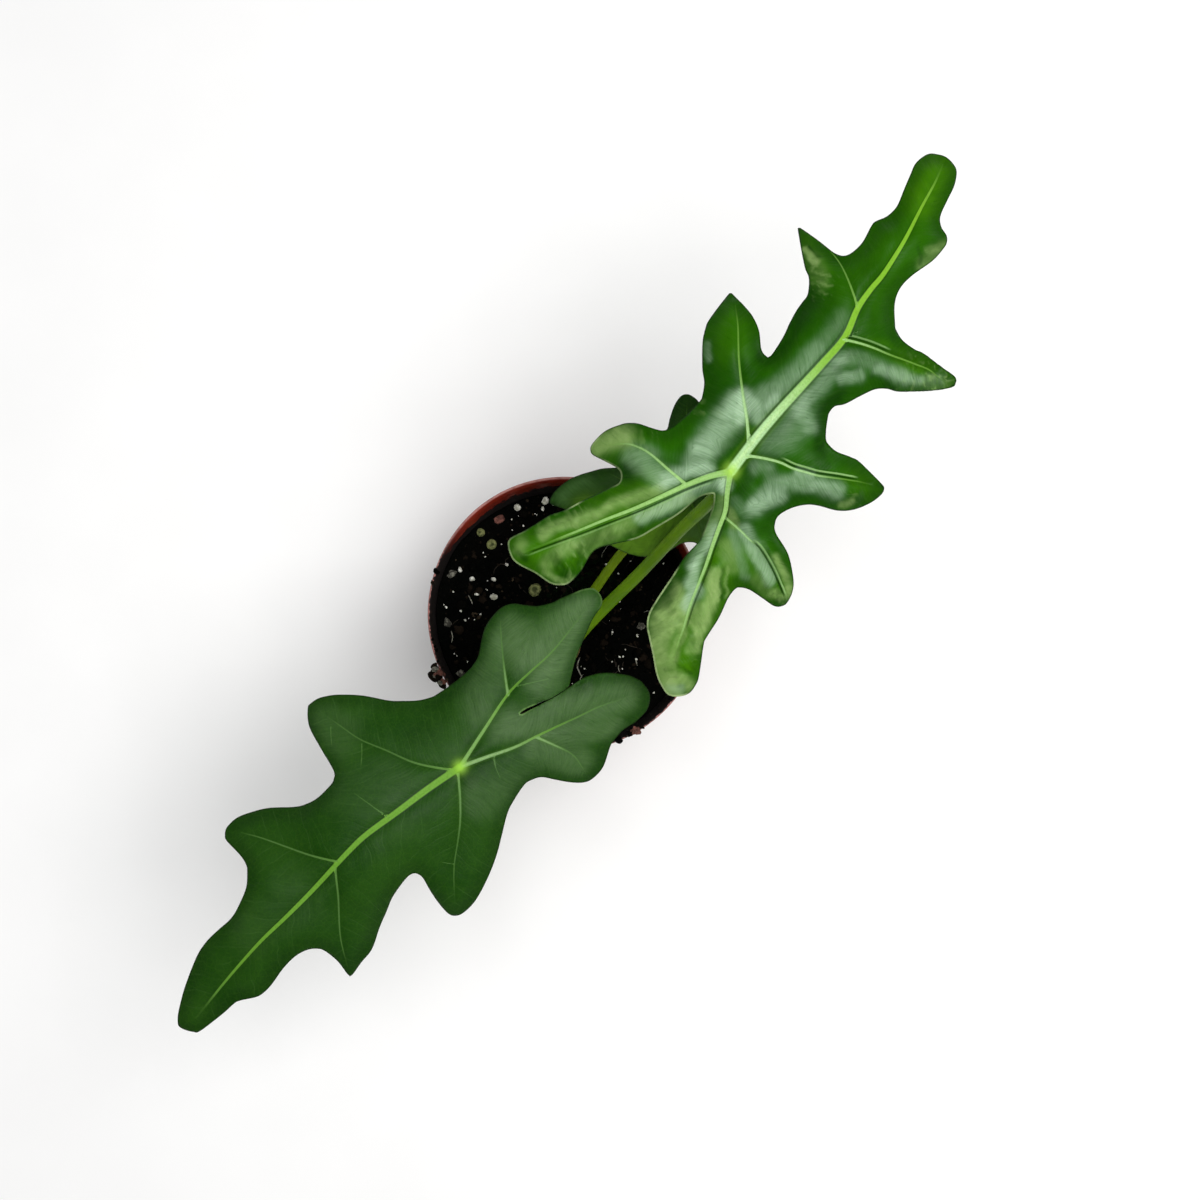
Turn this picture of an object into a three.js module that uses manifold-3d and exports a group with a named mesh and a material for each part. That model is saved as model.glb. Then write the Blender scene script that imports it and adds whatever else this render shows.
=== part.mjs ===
// A young potted Alocasia portei in a round nursery pot.
// Millimetres, +Z up. The origin is the centre of the pot's underside; the plant leans over it to both sides.
import * as THREE from 'three';
import { mergeVertices } from 'three/addons/utils/BufferGeometryUtils.js';
import Module from 'manifold-3d';

const wasm = await Module();
wasm.setup();

// ---- driving dimensions -------------------------------------------------------------------------------------
const POT_RIM_R = 52.5;      // outer radius of the rolled rim
const POT_HEIGHT = 90;
const POT_FOOT_R = 38.5;     // outer radius at the foot
const POT_BODY_TOP_R = 50.6; // outer radius of the body just under the rim band
const POT_WALL = 1.3;
const POT_FLOOR = 2.0;
const RIM_BAND = 11;         // height of the thicker band under the rim
const POT_SEGMENTS = 44;
const DRAIN_HOLES = 6;
const DRAIN_HOLE_R = 4.0;
const DRAIN_CIRCLE_R = 27;
const GAP = 0.3;             // between pieces that touch
const BLADE = 1.2;           // blade thickness
const BLADE_CELL = 8.5;      // spacing of the blade's surface grid
const STEM_R = 7.6;
const STEM_TOP = 84;
const STEM_BOTTOM = 70;
const STEM_CENTRE = [-2.1, -12.5];
const UPPER_PETIOLE = { base: 2.55, tip: 2.05 };
const FRONT_PETIOLE = { base: 2.4, tip: 2.0 };
const LOWER_PETIOLE = { base: 2.0, tip: 1.55 };

// ---- leaf outlines (plan view, counter-clockwise) and the heights that their surfaces pass through ----------
const UPPER_OUTLINE = [ // 101
  [114.8, 146.3], [106.7, 129.8], [100.7, 126.0], [96.0, 118.6], [91.6, 114.8], [87.9, 115.4], [76.9, 125.7], [79.3,
  107.6], [78.7, 102.2], [67.0, 82.7], [65.5, 82.7], [64.0, 85.0], [63.4, 90.8], [61.7, 95.6], [57.0, 102.5], [54.7,
  104.5], [46.8, 92.8], [45.7, 87.8], [46.2, 74.8], [44.9, 69.0], [38.7, 62.7], [33.0, 59.5], [22.9, 62.4], [14.5,
  60.2], [10.3, 56.2], [9.8, 53.8], [11.0, 52.3], [18.6, 47.7], [19.6, 45.5], [18.9, 43.0], [-3.4, 32.8], [-16.5,
  25.4], [-17.1, 22.7], [-15.7, 18.7], [-3.5, 10.8], [-0.3, 10.1], [2.8, 10.8], [6.7, 14.7], [10.0, 20.2], [12.9,
  22.3], [24.9, 25.1], [38.4, 33.0], [44.7, 38.1], [49.2, 39.2], [49.0, 35.2], [44.8, 24.4], [40.3, 19.4], [28.8,
  1.1], [28.1, -3.0], [31.4, -19.3], [35.3, -25.8], [38.5, -26.3], [41.9, -25.2], [44.1, -22.3], [47.3, -6.9], [56.6,
  8.9], [61.2, 8.6], [69.6, 3.3], [72.2, 3.3], [73.9, 4.5], [75.5, 8.2], [75.5, 12.7], [73.5, 20.1], [69.4, 26.7],
  [69.0, 29.9], [70.2, 32.4], [74.2, 34.7], [79.0, 35.8], [89.4, 34.1], [95.0, 34.5], [100.5, 36.8], [104.0, 39.6],
  [104.4, 42.0], [96.2, 49.2], [88.2, 52.5], [85.5, 54.8], [84.7, 57.0], [85.8, 65.0], [87.4, 66.7], [100.3, 72.2],
  [108.5, 71.8], [118.7, 72.5], [126.2, 73.8], [127.6, 75.2], [127.6, 76.7], [125.4, 78.5], [108.9, 87.8], [106.4,
  92.6], [106.3, 99.2], [108.0, 104.0], [112.0, 108.3], [118.8, 113.3], [124.1, 119.9], [124.1, 122.2], [122.3,
  125.0], [122.1, 128.4], [127.4, 139.1], [128.5, 144.0], [127.6, 146.8], [125.5, 149.2], [120.1, 150.5]
];
const UPPER_HEIGHTS = [
  [54.5, 46.2, 198], [62.4, 56.7, 201], [75.5, 71.7, 205], [88.8, 86.9, 206], [97.6, 105.1, 204], [109.5, 122.4, 199],
  [122.3, 148.3, 187], [127.5, 76.1, 190], [104.6, 41.4, 190], [72.9, 4.3, 186], [55.1, 104.4, 190], [77.0, 125.7,
  190], [10.3, 54.8, 184], [-16.4, 21.6, 184], [39.0, -25.3, 183], [106.9, 96.1, 201], [85.2, 59.9, 198], [69.8, 29.6,
  194], [66.3, 82.1, 200], [91.0, 115.0, 200], [45.4, 74.8, 195], [35.9, 60.2, 195], [19.6, 45.8, 191], [55.6, 7.9,
  191], [49.2, 38.7, 196.5], [109.5, 82.9, 199], [88.5, 46.0, 197], [56.5, 84.3, 200], [25.7, 56.5, 193], [25.7, 35.7,
  194], [0.0, 27.9, 189], [12.9, 21.5, 188], [1.8, 10.8, 184], [46.8, 13.3, 193], [30.7, 2.7, 187], [42.0, -14.1,
  188], [63.5, 21.9, 193], [122.9, 120.1, 195], [101.7, 126.8, 198], [109.2, 72.0, 195], [89.4, 34.2, 191]
];
const FRONT_OUTLINE = [ // 84
  [20.5, -39.4], [25.6, -36.1], [29.3, -32.0], [30.0, -27.1], [27.5, -23.0], [24.8, -21.3], [16.3, -19.5], [10.2,
  -20.1], [-0.0, -26.9], [-10.6, -32.2], [-14.1, -32.6], [-10.9, -30.0], [-0.7, -25.4], [1.6, -23.1], [7.4, -7.9],
  [13.5, 3.6], [13.1, 7.0], [10.6, 9.3], [7.3, 9.0], [-3.0, 4.5], [-8.1, 3.3], [-16.5, 4.1], [-20.3, 2.9], [-25.9,
  -3.8], [-28.2, -13.6], [-30.7, -17.6], [-34.8, -21.3], [-44.1, -27.5], [-53.6, -28.8], [-75.9, -26.9], [-83.6,
  -28.4], [-86.4, -30.4], [-86.7, -35.5], [-85.3, -39.2], [-76.5, -52.0], [-76.3, -54.6], [-81.8, -61.0], [-85.9,
  -63.3], [-105.2, -66.8], [-111.0, -69.0], [-114.0, -71.6], [-115.0, -74.9], [-114.2, -76.7], [-106.5, -83.9],
  [-106.2, -91.7], [-109.6, -99.1], [-112.4, -102.9], [-120.7, -110.5], [-124.0, -114.8], [-131.4, -132.1], [-133.0,
  -137.7], [-132.8, -142.6], [-127.8, -144.2], [-125.3, -143.7], [-112.3, -132.8], [-101.6, -128.4], [-90.0, -115.0],
  [-86.0, -112.7], [-82.7, -112.3], [-80.2, -113.3], [-76.5, -117.5], [-73.5, -123.0], [-72.1, -123.3], [-64.9,
  -113.8], [-56.7, -94.4], [-52.2, -88.1], [-49.7, -86.3], [-47.8, -86.8], [-46.4, -88.4], [-42.1, -97.4], [-39.0,
  -101.7], [-36.6, -102.7], [-33.7, -101.6], [-29.6, -97.3], [-25.4, -89.5], [-22.2, -81.4], [-18.2, -66.4], [-12.4,
  -56.8], [-6.7, -54.6], [2.7, -56.7], [7.4, -56.9], [10.5, -55.6], [14.0, -51.7], [16.5, -44.5]
];
const FRONT_HEIGHTS = [
  [-33.8, -50.4, 170], [-48.8, -61.1, 173], [-64.6, -72.5, 174], [-74.7, -81.6, 173], [-90.9, -97.8, 168], [-107.4,
  -116.0, 161], [-128.7, -140.4, 150], [-86.0, -30.2, 157], [-114.0, -73.9, 157], [-36.6, -102.2, 157], [-72.9,
  -122.9, 156], [12.2, 8.0, 158], [5.5, -25.1, 163], [29.3, -27.2, 155], [7.8, -56.0, 158], [-76.5, -53.6, 168],
  [-106.0, -86.1, 166], [-49.0, -86.4, 168], [-82.7, -112.5, 165], [-42.0, -26.4, 164], [-23.3, 0.6, 162], [-0.7, 5.3,
  161], [-7.4, -54.8, 163], [-19.1, -68.7, 165], [-15.6, -32.6, 167.5], [-10.5, -24.8, 168.5], [-5.5, -14.8, 167],
  [-54.1, -43.2, 168], [-70.8, -36.9, 163], [-91.4, -74.8, 165], [-35.1, -77.0, 166], [-74.4, -100.5, 166], [-12.3,
  -43.0, 167], [9.5, -32.7, 161], [4.4, -43.7, 162], [-101.0, -128.3, 159], [-120.7, -110.6, 159]
];
const LOWER_OUTLINE = [ // 51
  [83.5, 100.8], [78.2, 89.8], [61.7, 66.7], [57.5, 64.5], [54.0, 66.0], [45.7, 77.0], [43.6, 78.0], [41.4, 77.3],
  [39.2, 74.1], [36.4, 65.3], [28.7, 57.3], [23.5, 53.6], [19.1, 52.3], [12.9, 51.9], [2.2, 48.5], [-3.9, 43.4],
  [-5.2, 40.7], [-4.3, 39.4], [4.0, 35.5], [15.4, 25.5], [21.8, 22.1], [27.1, 20.7], [32.4, 20.7], [36.9, 22.3],
  [41.1, 24.9], [44.6, 25.7], [47.5, 24.7], [49.4, 19.5], [48.9, 11.7], [50.4, 4.6], [53.0, 1.7], [55.8, 3.9], [63.0,
  23.6], [71.8, 20.9], [73.4, 24.8], [71.4, 31.4], [68.3, 37.5], [68.9, 43.1], [72.4, 47.3], [84.1, 52.5], [85.5,
  56.0], [82.1, 59.4], [75.9, 62.7], [70.9, 66.8], [70.1, 71.5], [72.7, 76.3], [83.5, 83.6], [87.5, 88.7], [89.1,
  94.8], [88.5, 100.2], [86.1, 103.1]
];
const LOWER_HEIGHTS = [
  [42.4, 44.2, 146], [54.5, 59.0, 148], [68.4, 76.4, 147], [86.1, 102.7, 139], [43.6, 78.0, 137], [36.8, 65.7, 140],
  [57.5, 64.9, 144], [85.5, 56.0, 138], [70.5, 71.6, 144], [68.9, 42.0, 142], [73.2, 22.3, 134], [53.0, 1.7, 128],
  [49.2, 24.7, 137], [32.4, 20.9, 135], [15.7, 25.5, 134], [-5.0, 40.3, 129], [4.0, 48.8, 131], [18.9, 52.0, 136],
  [23.4, 38.5, 142], [60.4, 26.4, 139]
];

// Centre lines of the three leaf stalks, from the stem to just under each blade
const UPPER_STALK = [[0.7, -13.3, 84.4], [1.0, -12.9, 90], [4.4, -8.4, 101], [12.9, 0.8, 115], [27.1, 15.0, 139],
  [40.1, 29.0, 163], [49.4, 38.0, 184], [54.2, 45.6, 198]];
const FRONT_STALK = [[-4.5, -15.1, 84.4], [-4.8, -15.4, 90], [-8.2, -19.9, 105], [-20.0, -33.6, 134], [-29.5, -44.6, 157],
  [-33.6, -50.2, 170]];
const LOWER_STALK = [[-2.7, -9.5, 84.4], [-2.3, -9.0, 89], [3.0, -2.4, 97], [10.8, 8.9, 107], [20.8, 22.4, 124],
  [33.0, 34.0, 137], [41.8, 43.4, 146]];

// Heights of the soil's uneven top: banked up at the left, sunk towards the back and right
const SOIL_HEIGHTS = [[-46, 0, 84], [-40, 25, 80], [-20, 42, 72], [0, 47, 70], [25, 40, 71], [44, 20, 72], [47, 0, 75],
  [40, -25, 79], [20, -43, 81], [0, -48, 80], [-25, -42, 80], [-42, -22, 83], [0, 0, 79], [-5, -16, 81.5],
  [-20, 15, 77], [20, 15, 76], [20, -10, 79]];

// Loose grains that lie in the surface: name, x, y, half sizes, turn in degrees, roughness of shape, colour
const GRAINS = [
  ['granule_1', -29.1, 26.9, 2.3, 2.2, 2.0, 10, 0.04, 0x878b55],
  ['granule_2', -12.3, 9.2, 2.9, 2.7, 2.4, 40, 0.04, 0x7c8446],
  ['granule_3', -33.4, 31.5, 1.9, 1.8, 1.7, 75, 0.05, 0x86844f],
  ['perlite_1', -28.0, 6.5, 2.0, 1.7, 1.6, 20, 0.14, 0xd9d6bd],
  ['perlite_2', -19.4, 41.5, 1.9, 1.6, 1.5, 130, 0.2, 0xd2d2cc],
  ['perlite_3', -8.6, 44.0, 2.1, 1.6, 1.5, 65, 0.2, 0xd2d2cc],
  ['pumice_1', -44.0, 15.3, 2.4, 1.8, 1.7, 30, 0.18, 0xa6a49b],
  ['pumice_2', -45.6, -3.7, 2.6, 1.9, 1.8, 110, 0.14, 0x9c9a92],
  ['pumice_3', 28.8, -4.8, 2.3, 1.9, 1.7, 55, 0.18, 0x83857c],
  ['pumice_4', -40.3, -23.4, 2.6, 2.2, 1.8, 150, 0.18, 0xb29c94],
  ['bark_chip', -26.2, 36.6, 3.0, 2.0, 1.2, 25, 0.12, 0x9a6052],
];

// ---- helpers --------------------------------------------------------------------------------------------------
function solid(geometry) {
  const g = geometry.index ? geometry.toNonIndexed() : geometry.clone();
  for (const name of Object.keys(g.attributes)) if (name !== 'position') g.deleteAttribute(name);
  const m = mergeVertices(g, 1e-4);
  return new wasm.Manifold(new wasm.Mesh({
    numProp: 3,
    vertProperties: new Float32Array(m.attributes.position.array),
    triVerts: new Uint32Array(m.index.array),
  }));
}

function geometryOf(manifold) {
  const mesh = manifold.getMesh();
  const g = new THREE.BufferGeometry();
  const n = mesh.vertProperties.length / mesh.numProp;
  const positions = new Float32Array(n * 3);
  for (let i = 0; i < n; i++)
    for (let k = 0; k < 3; k++) positions[3 * i + k] = mesh.vertProperties[i * mesh.numProp + k];
  g.setAttribute('position', new THREE.BufferAttribute(positions, 3));
  g.setIndex(new THREE.BufferAttribute(new Uint32Array(mesh.triVerts), 1));
  g.computeVertexNormals();
  return g;
}

// A smooth height surface through scattered points (thin plate)
function surface(points, smooth = 20) {
  const n = points.length, size = n + 3;
  const phi = (r2) => (r2 < 1e-9 ? 0 : 0.5 * r2 * Math.log(r2));
  const rows = Array.from({ length: size }, () => new Float64Array(size + 1));
  for (let i = 0; i < n; i++) {
    for (let j = 0; j < n; j++) {
      const dx = points[i][0] - points[j][0], dy = points[i][1] - points[j][1];
      rows[i][j] = phi(dx * dx + dy * dy) + (i === j ? smooth : 0);
    }
    rows[i][n] = rows[n][i] = 1;
    rows[i][n + 1] = rows[n + 1][i] = points[i][0];
    rows[i][n + 2] = rows[n + 2][i] = points[i][1];
    rows[i][size] = points[i][2];
  }
  for (let c = 0; c < size; c++) {
    let pivot = c;
    for (let r = c + 1; r < size; r++) if (Math.abs(rows[r][c]) > Math.abs(rows[pivot][c])) pivot = r;
    [rows[c], rows[pivot]] = [rows[pivot], rows[c]];
    for (let r = 0; r < size; r++) {
      if (r === c) continue;
      const f = rows[r][c] / rows[c][c];
      if (f !== 0) for (let k = c; k <= size; k++) rows[r][k] -= f * rows[c][k];
    }
  }
  const w = rows.map((row, i) => row[size] / row[i]);
  return (x, y) => {
    let z = w[n] + w[n + 1] * x + w[n + 2] * y;
    for (let i = 0; i < n; i++) {
      const dx = x - points[i][0], dy = y - points[i][1];
      z += w[i] * phi(dx * dx + dy * dy);
    }
    return z;
  };
}

// A slab that follows a height surface: a box whose top and bottom grids are lifted onto it
function slab(height, angle, cx, cy, length, width, cell, below, above) {
  const g = new THREE.BoxGeometry(length, width, 1, Math.ceil(length / cell), Math.ceil(width / cell), 1);
  g.rotateZ(angle);
  g.translate(cx, cy, 0);
  const p = g.attributes.position;
  for (let i = 0; i < p.count; i++)
    p.setZ(i, height(p.getX(i), p.getY(i)) + (p.getZ(i) > 0 ? above : -below));
  return solid(g);
}

function prism(outline, low, high) {
  const shape = new THREE.Shape(outline.map(([x, y]) => new THREE.Vector2(x, y)));
  const g = new THREE.ExtrudeGeometry(shape, { depth: high - low, bevelEnabled: false, steps: 1 });
  g.translate(0, 0, low);
  return solid(g);
}

// The oriented rectangle round an outline
function extent(outline, angle) {
  const c = Math.cos(angle), s = Math.sin(angle);
  const us = outline.map(([x, y]) => x * c + y * s), vs = outline.map(([x, y]) => -x * s + y * c);
  const u0 = Math.min(...us), u1 = Math.max(...us), v0 = Math.min(...vs), v1 = Math.max(...vs);
  const u = (u0 + u1) / 2, v = (v0 + v1) / 2;
  return [u * c - v * s, u * s + v * c, u1 - u0 + 6, v1 - v0 + 6];
}

function blade(outline, height, angle) {
  const [cx, cy, length, width] = extent(outline, angle);
  return prism(outline, 60, 260).intersect(slab(height, angle, cx, cy, length, width, BLADE_CELL, BLADE, 0));
}

// A tapering round stalk along a smooth centre line, trimmed just below its blade
function stalk(points, { base, tip }, height) {
  const curve = new THREE.CatmullRomCurve3(points.map((p) => new THREE.Vector3(...p)), false, 'centripetal');
  const steps = Math.round(curve.getLength() / 8);
  const circle = new THREE.Shape(Array.from({ length: 8 }, (_, i) =>
    new THREE.Vector2(Math.cos((i / 8) * 2 * Math.PI), Math.sin((i / 8) * 2 * Math.PI))));
  const g = new THREE.ExtrudeGeometry(circle, { steps, bevelEnabled: false, extrudePath: curve });
  const centres = curve.getSpacedPoints(steps);
  const p = g.attributes.position, v = new THREE.Vector3();
  for (let i = 0; i < p.count; i++) {
    v.fromBufferAttribute(p, i);
    let best = 0, d = Infinity;
    centres.forEach((c, k) => { const e = c.distanceToSquared(v); if (e < d) { d = e; best = k; } });
    const t = best / steps, r = base + (tip - base) * Math.sqrt(t);
    v.sub(centres[best]).multiplyScalar(r).add(centres[best]);
    p.setXYZ(i, v.x, v.y, v.z);
  }
  const end = points[points.length - 1];
  const over = slab(height, 0, end[0], end[1], 40, 40, 5, BLADE + GAP, 40);
  return solid(g).subtract(over);
}

function rough(seed) { // a repeatable value from 0 to 1 for each number
  const s = Math.sin(seed * 127.1 + 311.7) * 43758.5453;
  return s - Math.floor(s);
}

function grain([name, x, y, a, b, c, turn, rude], ground, swell = 0) {
  const g = new THREE.IcosahedronGeometry(1, 1);
  const p = g.attributes.position, v = new THREE.Vector3();
  let salt = 0;
  for (const ch of name) salt = salt * 31 + ch.charCodeAt(0);
  for (let i = 0; i < p.count; i++) {
    v.fromBufferAttribute(p, i).normalize();
    const key = Math.round(v.x * 50) * 7.31 + Math.round(v.y * 50) * 3.17 + Math.round(v.z * 50) * 1.93 + (salt % 97);
    const r = 1 - rude * rough(key);
    p.setXYZ(i, v.x * (a * r + swell), v.y * (b * r + swell), v.z * (c * r + swell));
  }
  g.rotateZ(THREE.MathUtils.degToRad(turn));
  g.translate(x, y, ground(x, y) + c * 0.25);
  return solid(g);
}

// ---- the pieces -----------------------------------------------------------------------------------------------
const upperHeight = surface(UPPER_HEIGHTS);
const frontHeight = surface(FRONT_HEIGHTS);
const lowerHeight = surface(LOWER_HEIGHTS);
const soilHeight = surface(SOIL_HEIGHTS);

const taperR = (z) => POT_FOOT_R + ((POT_BODY_TOP_R - POT_FOOT_R) * z) / (POT_HEIGHT - RIM_BAND);
const insideR = (z) => taperR(z) - POT_WALL;

function pot() {
  const b = POT_HEIGHT - RIM_BAND;
  const profile = [
    [0, 0], [POT_FOOT_R - 1.2, 0], [POT_FOOT_R, 1.2], [taperR(b - 2), b - 2], [POT_RIM_R - 1.3, b], [POT_RIM_R - 0.7, b + 1],
    [POT_RIM_R - 0.5, POT_HEIGHT - 2.6], [POT_RIM_R, POT_HEIGHT - 2.0], [POT_RIM_R, POT_HEIGHT - 0.7],
    [POT_RIM_R - 0.7, POT_HEIGHT], [POT_RIM_R - 1.5, POT_HEIGHT], [POT_RIM_R - 2.0, POT_HEIGHT - 0.8],
    [insideR(b) + 0.4, b], [insideR(POT_FLOOR + 1.5), POT_FLOOR + 1.5], [insideR(POT_FLOOR) - 1.2, POT_FLOOR], [0, POT_FLOOR],
  ].map(([r, z]) => new THREE.Vector2(r, z));
  const lathe = new THREE.LatheGeometry(profile, POT_SEGMENTS);
  lathe.rotateX(Math.PI / 2);
  let body = solid(lathe);
  for (let i = 0; i < DRAIN_HOLES; i++) {
    const a = ((i + 0.5) / DRAIN_HOLES) * 2 * Math.PI;
    const hole = new THREE.CylinderGeometry(DRAIN_HOLE_R, DRAIN_HOLE_R, 12, 14);
    hole.rotateX(Math.PI / 2);
    hole.translate(DRAIN_CIRCLE_R * Math.cos(a), DRAIN_CIRCLE_R * Math.sin(a), 1);
    body = body.subtract(solid(hole));
  }
  return body;
}

function stem(swell) {
  const r = STEM_R + swell, low = STEM_BOTTOM - swell, top = STEM_TOP;
  const profile = [[0, low], [r * 0.8, low], [r, low + 3], [r, top - 4], [r * 0.94, top - 1.2], [r * 0.84, top + (swell ? 3 : 0)],
    [0, top + (swell ? 3 : 0)]].map(([a, z]) => new THREE.Vector2(a, z));
  const g = new THREE.LatheGeometry(profile, 20);
  g.rotateX(Math.PI / 2);
  g.translate(STEM_CENTRE[0], STEM_CENTRE[1], 0);
  return solid(g);
}

function soil() {
  const low = POT_FLOOR + GAP;
  const b = POT_HEIGHT - RIM_BAND;
  const profile = [[0, low], [insideR(low) - 1.8, low], [insideR(low + 2.2) - GAP - 0.1, low + 2.2],
    [insideR(b) - GAP - 0.05, b], [insideR(b) - GAP + 0.35, POT_HEIGHT + 4], [0, POT_HEIGHT + 4]].map(([r, z]) => new THREE.Vector2(r, z));
  const g = new THREE.LatheGeometry(profile, POT_SEGMENTS);
  g.rotateX(Math.PI / 2);
  let body = solid(g).intersect(slab(soilHeight, 0, 0, 0, 110, 110, 9.5, 120, 0)).subtract(stem(GAP));
  for (const item of GRAINS) body = body.subtract(grain(item, soilHeight, GAP));
  return body;
}

const group = new THREE.Group();
group.name = 'potted_alocasia';
function add(name, manifold, colour, roughness) {
  const mesh = new THREE.Mesh(geometryOf(manifold), new THREE.MeshStandardMaterial({ color: colour, roughness, metalness: 0 }));
  mesh.name = name;
  group.add(mesh);
}

add('pot', pot(), 0x6b3020, 0.5);
add('soil', soil(), 0x15140f, 0.95);
add('stem_base', stem(0), 0x6d7a2a, 0.5);
add('upper_leaf_petiole', stalk(UPPER_STALK, UPPER_PETIOLE, upperHeight), 0x6e8a12, 0.4);
add('upper_leaf_blade', blade(UPPER_OUTLINE, upperHeight, 0.96), 0x31620a, 0.3);
add('front_leaf_petiole', stalk(FRONT_STALK, FRONT_PETIOLE, frontHeight), 0x66821a, 0.45);
add('front_leaf_blade', blade(FRONT_OUTLINE, frontHeight, 0.79), 0x264c1e, 0.5);
add('lower_leaf_petiole', stalk(LOWER_STALK, LOWER_PETIOLE, lowerHeight), 0x6a7c30, 0.45);
add('lower_leaf_blade', blade(LOWER_OUTLINE, lowerHeight, 0.94), 0x1f3b10, 0.45);
for (const item of GRAINS) add(item[0], grain(item, soilHeight), item[8], 0.9);

export default group;
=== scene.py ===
"""A young lobed-leaf aroid in a round nursery pot, seen from straight above. Metres in Blender; the tables below are in millimetres."""
import bpy
import math
import numpy as np
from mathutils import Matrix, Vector
from mathutils.geometry import delaunay_2d_cdt


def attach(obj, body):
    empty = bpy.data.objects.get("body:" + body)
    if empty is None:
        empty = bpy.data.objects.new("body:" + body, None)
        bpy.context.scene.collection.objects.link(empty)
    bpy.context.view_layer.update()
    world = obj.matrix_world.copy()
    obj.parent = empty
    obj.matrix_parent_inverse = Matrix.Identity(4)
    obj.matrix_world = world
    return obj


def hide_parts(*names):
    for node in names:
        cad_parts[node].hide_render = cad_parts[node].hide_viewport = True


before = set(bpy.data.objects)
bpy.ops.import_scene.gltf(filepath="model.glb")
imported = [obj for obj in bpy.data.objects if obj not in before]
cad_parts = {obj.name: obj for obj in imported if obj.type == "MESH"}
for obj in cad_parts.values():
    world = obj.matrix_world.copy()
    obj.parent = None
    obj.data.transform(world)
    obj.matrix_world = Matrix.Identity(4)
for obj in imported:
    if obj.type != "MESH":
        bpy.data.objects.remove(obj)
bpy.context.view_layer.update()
MM = 0.001

# ------------------------------------------------------------------------------------------------ dimensions, mm
POT_RIM_R, POT_HEIGHT, POT_FOOT_R, POT_BODY_TOP_R = 52.5, 90.0, 38.5, 50.6
POT_WALL, POT_FLOOR, RIM_BAND = 1.3, 2.0, 11.0
DRAIN_HOLES, DRAIN_HOLE_R, DRAIN_CIRCLE_R = 6, 4.0, 27.0
STEM_CENTRE = (-2.1, -12.5)

# Camera: straight down, its frame 456.5 mm wide at the rim's height
CAMERA_AT = (12.9, 5.3, 740.0)
CAMERA_ANGLE = 2 * math.atan(0.3804 * 600 / 650)

SOIL_HEIGHTS = [(-46, 0, 84), (-40, 25, 80), (-20, 42, 72), (0, 47, 70), (25, 40, 71), (44, 20, 72), (47, 0, 75),
                (40, -25, 79), (20, -43, 81), (0, -48, 80), (-25, -42, 80), (-42, -22, 83), (0, 0, 79), (-5, -16, 81.5),
                (-20, 15, 77), (20, 15, 76), (20, -10, 79)]

UPPER_STALK = [(0.7, -13.3, 84.4), (1.0, -12.9, 90), (4.4, -8.4, 101), (12.9, 0.8, 115), (27.1, 15.0, 139),
               (40.1, 29.0, 163), (49.4, 38.0, 184), (54.2, 45.6, 198)]
FRONT_STALK = [(-4.5, -15.1, 84.4), (-4.8, -15.4, 90), (-8.2, -19.9, 105), (-20.0, -33.6, 134), (-29.5, -44.6, 157),
               (-33.6, -50.2, 170)]
LOWER_STALK = [(-2.7, -9.5, 84.4), (-2.3, -9.0, 89), (3.0, -2.4, 97), (10.8, 8.9, 107), (20.8, 22.4, 124),
               (33.0, 34.0, 137), (41.8, 43.4, 146)]

# name, x, y, half sizes, turn in degrees
GRAINS = [
    ("granule_1", -29.1, 26.9, 2.3, 2.2, 2.0, 10), ("granule_2", -12.3, 9.2, 2.9, 2.7, 2.4, 40),
    ("granule_3", -33.4, 31.5, 1.9, 1.8, 1.7, 75), ("perlite_1", -28.0, 6.5, 2.0, 1.7, 1.6, 20),
    ("perlite_2", -19.4, 41.5, 1.9, 1.6, 1.5, 130), ("perlite_3", -8.6, 44.0, 2.1, 1.6, 1.5, 65),
    ("pumice_1", -44.0, 15.3, 2.4, 1.8, 1.7, 30), ("pumice_2", -45.6, -3.7, 2.6, 1.9, 1.8, 110),
    ("pumice_3", 28.8, -4.8, 2.3, 1.9, 1.7, 55), ("pumice_4", -40.3, -23.4, 2.6, 2.2, 1.8, 150),
    ("bark_chip", -26.2, 36.6, 3.0, 2.0, 1.2, 25),
]

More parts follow.
